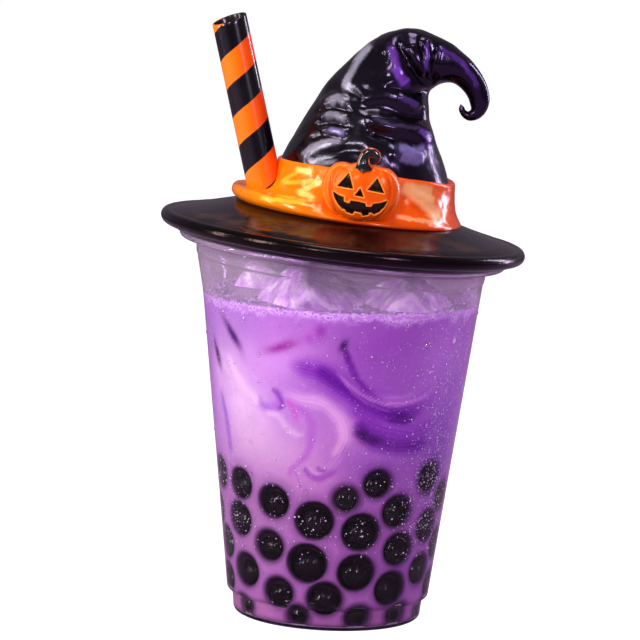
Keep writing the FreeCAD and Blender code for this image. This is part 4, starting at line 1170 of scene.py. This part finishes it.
# painted highlights: pale yellow and pale orange zigzag streaks on the band's front, where the lamps' reflections would
# fall
HIGHLIGHT_YELLOW, HIGHLIGHT_ORANGE = (255, 236, 150), (255, 206, 164)
for pts, wd, colr, am in [
    ([(-20.7, 19.0), (-18.5, 21.0), (-16.1, 23.1), (-13.8, 24.2)], 0.55, (255, 196, 50), 0.8), ([(-16.6, 23.4), (-14.4, 23.5), (-12.0, 23.9)], 0.9, HIGHLIGHT_YELLOW, 0.9), ([(-20.4, 18.8), (-15.2, 20.1), (-9.9, 21.1)], 0.7, (255, 204, 70), 0.85),
    ([(-11.4, 20.7), (-10.2, 20.9), (-9.4, 21.2)], 0.7, HIGHLIGHT_YELLOW, 0.85), ([(-9.9, 21.0), (-12.6, 19.0), (-15.1, 17.3)], 0.9, HIGHLIGHT_YELLOW, 0.8), ([(-15.4, 17.4), (-13.0, 17.2), (-10.6, 16.4)], 0.9, HIGHLIGHT_YELLOW, 0.85), ([(-26.2, 14.6), (-19.4, 15.2), (-12.6, 15.4)], 0.75, (255, 206, 70), 0.8),
    ([(14.6, 23.0), (19.4, 20.6), (23.0, 17.6), (26.8, 14.2)], 2.2, HIGHLIGHT_ORANGE, 0.72), ([(17.0, 22.6), (20.6, 22.0), (23.8, 21.4)], 1.9, HIGHLIGHT_ORANGE, 0.78), ([(22.2, 20.4), (23.6, 19.6), (24.6, 19.2)], 1.1, HIGHLIGHT_ORANGE, 0.7), ([(13.8, 14.3), (20.4, 13.5), (27.2, 12.8)], 0.7, HIGHLIGHT_ORANGE, 0.6),
]:
    d, tt, _s = stroke(bw, pts, 24)
    kk = ((1 - smooth((d / wd - 0.45) / 0.75)) * smooth(tt / 0.08 + 0.3) * smooth((1 - tt) / 0.08 + 0.3) * am)[:, None]
    tone_flat[fr] = tone_flat[fr] * (1 - kk) + lin(np.array(colr, float)) * kk
bandcol = tone_flat.reshape(bandcol.shape)
BGh = hat(BG)
band = lathe_object("hat_band", BGh, {"tone": np.asarray(bandcol) * np.array([0.97, 0.84, 0.55])})
m, nt, bs, mo = material("band_resin")
c = obj_coord(nt)
n1 = noise(nt, c, 130.0, 4, 0.6, 0.5)
n2 = noise(nt, c, 900.0, 3, 0.6)
base = attribute(nt, "tone").outputs["Color"]
v1 = ramp(nt, n1.outputs["Fac"], [(0.3, (0.92, 0.88, 0.8)), (0.7, (1.03, 1.04, 1.1))])
nt.links.new(mix_rgb(nt, 1.0, base, v1.outputs["Color"], "MULTIPLY"), bs.inputs["Base Color"])
rg = ramp(nt, n1.outputs["Fac"], [(0.3, (0.14, 0.14, 0.14)), (0.7, (0.26, 0.26, 0.26))])
nt.links.new(rg.outputs["Color"], bs.inputs["Roughness"])
bs.inputs["Coat Weight"].default_value = 0.12
bs.inputs["Coat Roughness"].default_value = 0.08
bs.inputs["Specular Tint"].default_value = (1.0, 0.72, 0.34, 1)
bs.inputs["Subsurface Weight"].default_value = 0.08
bs.inputs["Subsurface Radius"].default_value = (1.0, 0.35, 0.1)
bs.inputs["Subsurface Scale"].default_value = 0.0015
hb = bump(nt, n1.outputs["Fac"], 0.15, 0.0006)
nt.links.new(bump(nt, n2.outputs["Fac"], 0.08, 0.0002, hb), bs.inputs["Normal"])
fix_normals(band)
finish_piece(band, m, "band_orange", "hatband")

# ------------------------------------------------------------------ pumpkin badge
def badge_to_hat(p):
    """(x right, y out of the face, z up) of the badge to the hat's (u, v, w)."""
    t = math.radians(-1.6)
    p = np.asarray(p, float)
    x, z = p[..., 0], p[..., 2]
    c, s = math.cos(t), math.sin(t)
    return np.stack([x * c - z * s + BADGE_U, -p[..., 1] + BADGE_V, x * s + z * c + BADGE_W], -1)


PR, PC = 150, 560
OUTLINE = [(-11.70, .75), (-11.2, 4.35), (-8.6, 7.55), (-6.2, 8.35), (-4.2, 8.15), (-2.2, 8.75), (0.4, 8.45), (3.2, 8.75), (5.0, 8.35), (7.4, 7.95), (9.8, 5.9), (11.2, 2.6), (10.95, -2.2), (8.4, -5.5), (6.2, -7.0), (3.4, -7.6), (0.2, -8.2), (-3.0, -8.05), (-5.9, -7.2), (-8.4, -6.0), (-10.6, -3.3)]
oc = spline(np.array(OUTLINE + OUTLINE[:3]), 24 * (len(OUTLINE) + 2) + 1)[24:-24]
oa = np.unwrap(np.arctan2(oc[:, 1], oc[:, 0]))
orad = np.hypot(oc[:, 0], oc[:, 1])
pa = np.linspace(0, 2 * math.pi, PC, endpoint=False)
order = np.argsort(oa % (2 * math.pi))
pr_out = np.interp(pa, (oa % (2 * math.pi))[order], orad[order], period=2 * math.pi)
pr_out = (pr_out + np.roll(pr_out, 1) + np.roll(pr_out, -1)) / 3
k1 = np.sin(np.linspace(0.002, math.pi / 2, PR) ** 1.0)
KX, KA = np.meshgrid(k1, pa, indexing="ij")
X = KX * pr_out[None] * np.cos(KA)
Zz = KX * pr_out[None] * np.sin(KA)
Y = 1.0 + 5.3 * np.clip(1 - KX ** 3.4, 0, 1) ** 0.42
q2 = np.stack([X.ravel(), Zz.ravel()], 1)


def inside_distance(poly):
    """Distance to a polygon's edge, positive inside it."""
    P = np.asarray(poly, float)
    x, y = q2[:, 0], q2[:, 1]
    dmin = np.full(len(q2), 1e9)
    ins = np.zeros(len(q2), bool)
    for a, b in zip(P, np.roll(P, -1, 0)):
        ab = b - a
        t_ = np.clip(((q2 - a) @ ab) / (ab @ ab), 0, 1)
        d_ = q2 - (a + t_[:, None] * ab)
        dmin = np.minimum(dmin, np.hypot(d_[:, 0], d_[:, 1]))
        cond = ((a[1] > y) != (b[1] > y))
        with np.errstate(divide="ignore", invalid="ignore"):
            xx = (b[0] - a[0]) * (y - a[1]) / (b[1] - a[1] + 1e-12) + a[0]
        ins ^= cond & (x < xx)
    return np.where(ins, dmin, -dmin)


EYE_L = [(-4.39, 5.83), (-7.28, 1.62), (-2.64, 1.50)]
EYE_R = [(3.95, 5.41), (1.55, 1.75), (6.45, 1.40)]
NOSE = [(-.55, 1.92), (-1.86, -.30), (.72, -.42)]
MOUTH = [(-8.22, -.2), (-6.6, -.95), (-4.95, -1.33), (-4.78, -2.6), (-3.05, -2.95), (-2.75, -1.98), (-0.5, -2.0), (1.55, -2.25), (1.75, -3.1), (3.35, -3.05), (3.75, -2.05), (5.8, -1.55), (7.75, -.75),
         (7.1, -2.6), (5.9, -4.1), (4.6, -5.05), (4.1, -4.95), (3.6, -4.65), (3.0, -4.75), (2.75, -5.5), (1.2, -5.95), (0.75, -5.15), (-0.95, -4.9), (-1.35, -5.0), (-1.75, -5.85), (-3.5, -5.55), (-4.1, -4.85), (-4.7, -4.6), (-4.75, -4.95), (-6.3, -3.6), (-7.6, -1.9)]
sd = np.max([inside_distance(p_) for p_ in (EYE_L, EYE_R, NOSE, MOUTH)], 0)
recess = smooth((sd + 0.06) / 0.3)
lipup = np.exp(-((sd + 0.34) / 0.2) ** 2)
GROOVES = [([(-7.0, 8.0), (-8.9, 5.4), (-9.15, 1.6), (-8.3, -2.6), (-6.2, -6.2), (-5.2, -7.3)], 0.5, 0.55), ([(-0.2, 8.6), (-0.1, 7.2), (-0.3, 6.0)], 0.4, 0.5), ([(-3.6, 8.6), (-5.6, 7.3), (-7.4, 4.8), (-8.0, 2.2)], 0.4, 0.22),
           ([(4.4, 8.6), (6.8, 6.4), (8.1, 2.9), (8.2, -1.0), (6.9, -4.5), (4.6, -7.0), (2.2, -7.9)], 0.45, 0.42), ([(4.0, 8.4), (5.6, 7.4), (6.7, 5.6)], 0.35, 0.25), ([(-3.4, -7.9), (-4.2, -7.0)], 0.35, 0.3), ([(2.2, -7.9), (2.6, -7.0)], 0.35, 0.3)]
gr = np.zeros(len(q2))
for pts, wd, hh in GROOVES:
    d, tt, _s = stroke(q2, pts, 40)
    gr = np.maximum(gr, hh / 0.55 * np.exp(-(d / wd) ** 2) * smooth(tt / 0.12 + 0.35) * smooth((1 - tt) / 0.12 + 0.35))
lobes = 0.22 * np.cos(X * 0.85 + 0.5) * np.clip(np.abs(Zz) / 8, 0, 1)
Yf = Y.ravel() - 1.0 * recess + 0.16 * lipup - 0.55 * gr + lobes.ravel() * 0.5 * (1 - recess)
Yf = Yf + 0.05 * fbm(np.stack([X, Zz, 0 * X], -1) / 2.2, 2, 181).ravel()
Yf = Yf.reshape(X.shape)
Yf = Yf - 0.012 * X ** 2
face = np.stack([X, Yf, Zz], -1)
backr = []
for kk, yy in [(1.006, 0.5), (1.0, -0.3), (0.985, -1.2), (0.95, -2.3), (0.88, -3.4), (0.76, -4.3), (0.5, -5.0), (0.02, -5.3)]:
    bx, bz = kk * pr_out * np.cos(pa), kk * pr_out * np.sin(pa)
    backr.append(np.stack([bx, yy - 0.012 * bx ** 2, bz], -1))
full = np.concatenate([face, np.array(backr)], 0)
ink = smooth((sd + 0.03) / 0.09).reshape(X.shape)
bevel_highlight = np.exp(-((sd + 0.22) / 0.20) ** 2).reshape(X.shape)
warm = lin(np.array([236, 88, 4.0]))
deepc = lin(np.array([218, 60, 2.0]))
lit_orange = lin(np.array([250, 122, 12.0]))
# painted light and shade: the face is painted lighter towards the left and deeper towards the bottom
badge_lit_left = smooth((-X + 2) / 14)[..., None]
badge_shade_low = smooth((-Zz + 0) / 8)[..., None]
colb = warm * (1 - 0.5 * badge_lit_left) + lit_orange * 0.5 * badge_lit_left
colb = colb * (1 - 0.45 * badge_shade_low) + deepc * 0.45 * badge_shade_low
# painted shade: the grooves between the lobes are painted deeper orange
groove_shade = gr.reshape(X.shape)[..., None]
colb = colb * (1 - 0.6 * groove_shade) + lin(np.array([214, 56, 2.0])) * 0.6 * groove_shade
# painted highlight: a light orange line on the bevel round the face's cut-outs
colb = colb * (1 - 0.7 * bevel_highlight[..., None]) + lin(np.array([255, 168, 60.0])) * 0.7 * bevel_highlight[..., None]
# painted highlight: a lighter orange ring just inside the badge's outline
rim_highlight_ring = (np.exp(-((KX - 0.945) / 0.028) ** 2))[..., None]
colb = colb * (1 - 0.35 * rim_highlight_ring) + lin(np.array([255, 176, 70.0])) * 0.35 * rim_highlight_ring
colb = colb * (1 - ink[..., None]) + lin(np.array([14, 6, 6.0])) * ink[..., None]
colf = np.concatenate([colb, np.ones((len(backr), PC, 3)) * deepc], 0)
badge = lathe_object("pumpkin_badge", hat(badge_to_hat(full)), {"tone": colf})
m, nt, bs, mo = material("pumpkin_resin")
c = obj_coord(nt)
n1 = noise(nt, c, 300.0, 4, 0.6, 0.3)
n2 = noise(nt, c, 1400.0, 3, 0.6)
base = attribute(nt, "tone").outputs["Color"]
v1 = ramp(nt, n1.outputs["Fac"], [(0.3, (0.93, 0.88, 0.8)), (0.7, (1.03, 1.06, 1.15))])
nt.links.new(mix_rgb(nt, 1.0, base, v1.outputs["Color"], "MULTIPLY"), bs.inputs["Base Color"])
rg = ramp(nt, n1.outputs["Fac"], [(0.3, (0.20, 0.20, 0.20)), (0.7, (0.32, 0.32, 0.32))])
nt.links.new(rg.outputs["Color"], bs.inputs["Roughness"])
bs.inputs["Coat Weight"].default_value = 0.06
bs.inputs["Coat Roughness"].default_value = 0.12
bs.inputs["Specular Tint"].default_value = (1.0, 0.70, 0.34, 1)
bs.inputs["Specular IOR Level"].default_value = 0.35
nt.links.new(bump(nt, n2.outputs["Fac"], 0.08, 0.0002), bs.inputs["Normal"])
fix_normals(badge)
finish_piece(badge, m, "pumpkin_orange", "pumpkin")

# ------------------------------------------------------------------ the stalk on the badge
STALK = [(-0.3, 6.8, 3.3), (-0.55, 7.7, 2.75), (-0.75, 8.9, 1.95), (-0.75, 10.2, 1.6), (-0.45, 11.35, 1.5), (.35, 12.25, 1.4), (1.45, 12.45, 1.35), (2.45, 12.0, 1.3), (2.95, 11.1, 1.2), (2.75, 10.35, 0.95), (2.3, 10.1, 0.55)]
SR, SCN = 90, 48
sk = spline(np.array(STALK), SR)
dk_ = np.gradient(sk[:, :2], axis=0)
dk_ /= np.linalg.norm(dk_, axis=1, keepdims=True)
ex, ez = dk_[:, 1], -dk_[:, 0]
sa_ = np.linspace(0, 2 * math.pi, SCN, endpoint=False)
flute = 1 + 0.06 * np.cos(5 * sa_)[None] * smooth(1 - np.linspace(0, 1, SR) / 0.6)[:, None]
rad_s = sk[:, 2][:, None] * flute
SX = sk[:, 0][:, None] + ex[:, None] * rad_s * np.cos(sa_)
SZ = sk[:, 1][:, None] + ez[:, None] * rad_s * np.cos(sa_)
SY = 3.1 + 0.8 * rad_s * np.sin(sa_)
stg = np.stack([SX, SY, SZ], -1)
side_l = smooth((np.abs(np.cos(sa_)) - 0.80) / 0.14)[None] * np.ones((SR, 1))
tip = smooth((np.linspace(0, 1, SR) - 0.62) / 0.2)[:, None] * smooth((np.cos(sa_) + 0.55) / 0.5)[None] * (-1) + 0
edge_s = np.clip(side_l, 0, 1)
stcol = lin(np.array([12, 6, 6.0])) * (1 - edge_s[..., None]) + lin(np.array([222, 88, 12.0])) * edge_s[..., None]
stalk = lathe_object("pumpkin_stalk_curl", hat(badge_to_hat(stg)), {"tone": stcol})
m, nt, bs, mo = material("stalk_gloss")
c = obj_coord(nt)
n1 = noise(nt, c, 500.0, 4, 0.6)
v1 = ramp(nt, n1.outputs["Fac"], [(0.3, (0.8, 0.8, 0.8)), (0.7, (1.2, 1.2, 1.2))])
nt.links.new(mix_rgb(nt, 1.0, attribute(nt, "tone").outputs["Color"], v1.outputs["Color"], "MULTIPLY"), bs.inputs["Base Color"])
rg = ramp(nt, n1.outputs["Fac"], [(0.3, (0.12, 0.12, 0.12)), (0.7, (0.25, 0.25, 0.25))])
nt.links.new(rg.outputs["Color"], bs.inputs["Roughness"])
bs.inputs["Specular IOR Level"].default_value = 0.7
nt.links.new(bump(nt, n1.outputs["Fac"], 0.15, 0.0003), bs.inputs["Normal"])
fix_normals(stalk)
finish_piece(stalk, m, "stalk_black", "pumpkin_stalk")

# ------------------------------------------------------------------ the straw
PITCH, START = 17.1, 29.9
norm = math.hypot(STRAW_LEAN, 1)
AX = np.array([-STRAW_LEAN, 0, 1]) / norm
EX = np.array([1, 0, STRAW_LEAN]) / norm
EY = np.array([0, 1.0, 0])
BASE = np.array([STRAW_U, STRAW_V, STRAW_W])
SN = 128
sang = np.linspace(0, 2 * math.pi, SN, endpoint=False)


def straw_ring(r, length):
    """length may differ round the ring."""
    L_ = np.broadcast_to(length, sang.shape)
    return BASE + L_[:, None] * AX + r * (np.cos(sang)[:, None] * EX + np.sin(sang)[:, None] * EY)


def mouth(r):
    """Where the slanting mouth plane cuts a fibre of the straw at radius r."""
    top = BASE + AX * (STRAW_TOP_W - STRAW_W) * norm
    ry, rx = -math.atan(STRAW_LEAN) - math.radians(6), math.radians(9)
    n = np.array([0, 0, 1.0])
    n = np.array([n[0] * math.cos(ry) + n[2] * math.sin(ry), n[1], -n[0] * math.sin(ry) + n[2] * math.cos(ry)])
    n = np.array([n[0], n[1] * math.cos(rx) - n[2] * math.sin(rx), n[1] * math.sin(rx) + n[2] * math.cos(rx)])
    p0 = straw_ring(r, 0.0)
    return ((top - p0) @ n) / (AX @ n)


RO, RI = 5.25, 4.7
foot = (1.3 - STRAW_W + 0 * sang) * norm
foot_o = (1.35 - (BASE[2] + RO * np.cos(sang) * EX[2])) / AX[2]
foot_i = (1.35 - (BASE[2] + RI * np.cos(sang) * EX[2])) / AX[2]
mo_, mi_ = mouth(RO), mouth(RI)
srings, slen, sinside = [], [], []


def add_ring(r, L_, ins):
    srings.append(straw_ring(r, L_))
    slen.append(np.broadcast_to(L_, sang.shape).copy())
    sinside.append(np.full(SN, float(ins)))


add_ring(RI + 0.05, foot_i, 1)
add_ring(RO - 0.08, foot_o, 0)
add_ring(RO, foot_o + 0.1, 0)
for f_ in np.linspace(0, 1, 60)[1:-1]:
    add_ring(RO, foot_o + (mo_ - foot_o) * f_, 0)
add_ring(RO, mo_ - 0.16, 0)
add_ring(RO - 0.06, mo_ - 0.05, 0)
add_ring(RO - 0.15, mo_, 0)
add_ring(RI + 0.15, mi_, 0.6)
add_ring(RI + 0.05, mi_ - 0.06, 1)
add_ring(RI, mi_ - 0.2, 1)
for f_ in np.linspace(1, 0, 30)[1:]:
    add_ring(RI, foot_i + (mi_ - 0.2 - foot_i) * f_, 1)
SG = np.array(srings)
rows_s = len(SG)
verts = hat(SG).reshape(-1, 3)
faces = tube_faces(rows_s, SN).tolist()
# the last ring closes on the first, round the foot
for j in range(SN):
    k = (j + 1) % SN
    faces.append([(rows_s - 1) * SN + j, (rows_s - 1) * SN + k, k, j])
turnv = np.stack([np.cos(sang), np.sin(sang), np.zeros(SN)], -1)[None] * np.ones((rows_s, 1, 1))
turnv = turnv * 0.5 + 0.5
straw = make_object("straw", verts, faces, {"turn": turnv.reshape(-1, 3), "along": np.array(slen).ravel(), "inner": np.array(sinside).ravel()})
m, nt, bs, mo = material("straw_stripes")
tv = nt.nodes.new("ShaderNodeSeparateColor")
nt.links.new(attribute(nt, "turn").outputs["Color"], tv.inputs[0])


def mth(op, a, b=0.0):
    n = nt.nodes.new("ShaderNodeMath")
    n.operation = op
    for i_, v_ in enumerate((a, b)):
        if isinstance(v_, bpy.types.NodeSocket):
            nt.links.new(v_, n.inputs[i_])
        else:
            n.inputs[i_].default_value = v_
    return n.outputs[0]


cx_ = mth("SUBTRACT", tv.outputs[0], 0.5)
cy_ = mth("SUBTRACT", tv.outputs[1], 0.5)
ang_ = mth("DIVIDE", mth("ARCTAN2", cy_, cx_), 2 * math.pi)          # -0.5 .. 0.5, front at -0.25
along = attribute(nt, "along").outputs["Fac"]
ph = mth("SUBTRACT", mth("DIVIDE", mth("SUBTRACT", along, START), PITCH), mth("ADD", ang_, 0.5))
fr = mth("FRACT", mth("ADD", ph, 10.25))
tri_ = mth("ABSOLUTE", mth("SUBTRACT", fr, 0.5))
c = obj_coord(nt)
n1 = noise(nt, c, 500.0, 3)
tri_ = mth("ADD", tri_, mth("MULTIPLY", mth("SUBTRACT", n1.outputs["Fac"], 0.5), 0.012))
st = ramp(nt, tri_, [(0.245, (0, 0, 0)), (0.255, (1, 1, 1))])
n2 = noise(nt, c, 60.0, 3)
# painted light and shade: the orange is painted lighter on the straw's left and deeper on its right
sidew = mth("ADD", cx_, mth("MULTIPLY", mth("SUBTRACT", n2.outputs["Fac"], 0.5), 0.3))
sidem = nt.nodes.new("ShaderNodeMapRange")
sidem.inputs["From Min"].default_value = -0.45
sidem.inputs["From Max"].default_value = 0.45
nt.links.new(sidew, sidem.inputs["Value"])
orange_lit_left = ramp(nt, sidem.outputs[0], [(0.0, rgba((252, 132, 2))), (0.45, rgba((250, 112, 1))), (1.0, rgba((234, 62, 1)))])
blk = ramp(nt, n2.outputs["Fac"], [(0.3, rgba((5, 3, 6))), (0.7, rgba((12, 8, 14)))])
col = mix_rgb(nt, st.outputs["Color"], orange_lit_left.outputs["Color"], blk.outputs["Color"])
# painted shade: the inside of the straw is painted near black
col = mix_rgb(nt, attribute(nt, "inner").outputs["Fac"], col, rgba((30, 16, 18)))
nt.links.new(col, bs.inputs["Base Color"])
rg = ramp(nt, n2.outputs["Fac"], [(0.3, (0.16, 0.16, 0.16)), (0.7, (0.24, 0.24, 0.24))])
nt.links.new(rg.outputs["Color"], bs.inputs["Roughness"])
bs.inputs["Coat Weight"].default_value = 0.1
bs.inputs["Coat Roughness"].default_value = 0.05
bs.inputs["Specular IOR Level"].default_value = 0.35
nt.links.new(bump(nt, n1.outputs["Fac"], 0.06, 0.0002), bs.inputs["Normal"])
fix_normals(straw)
finish_piece(straw, m, "straw_striped", "straw")
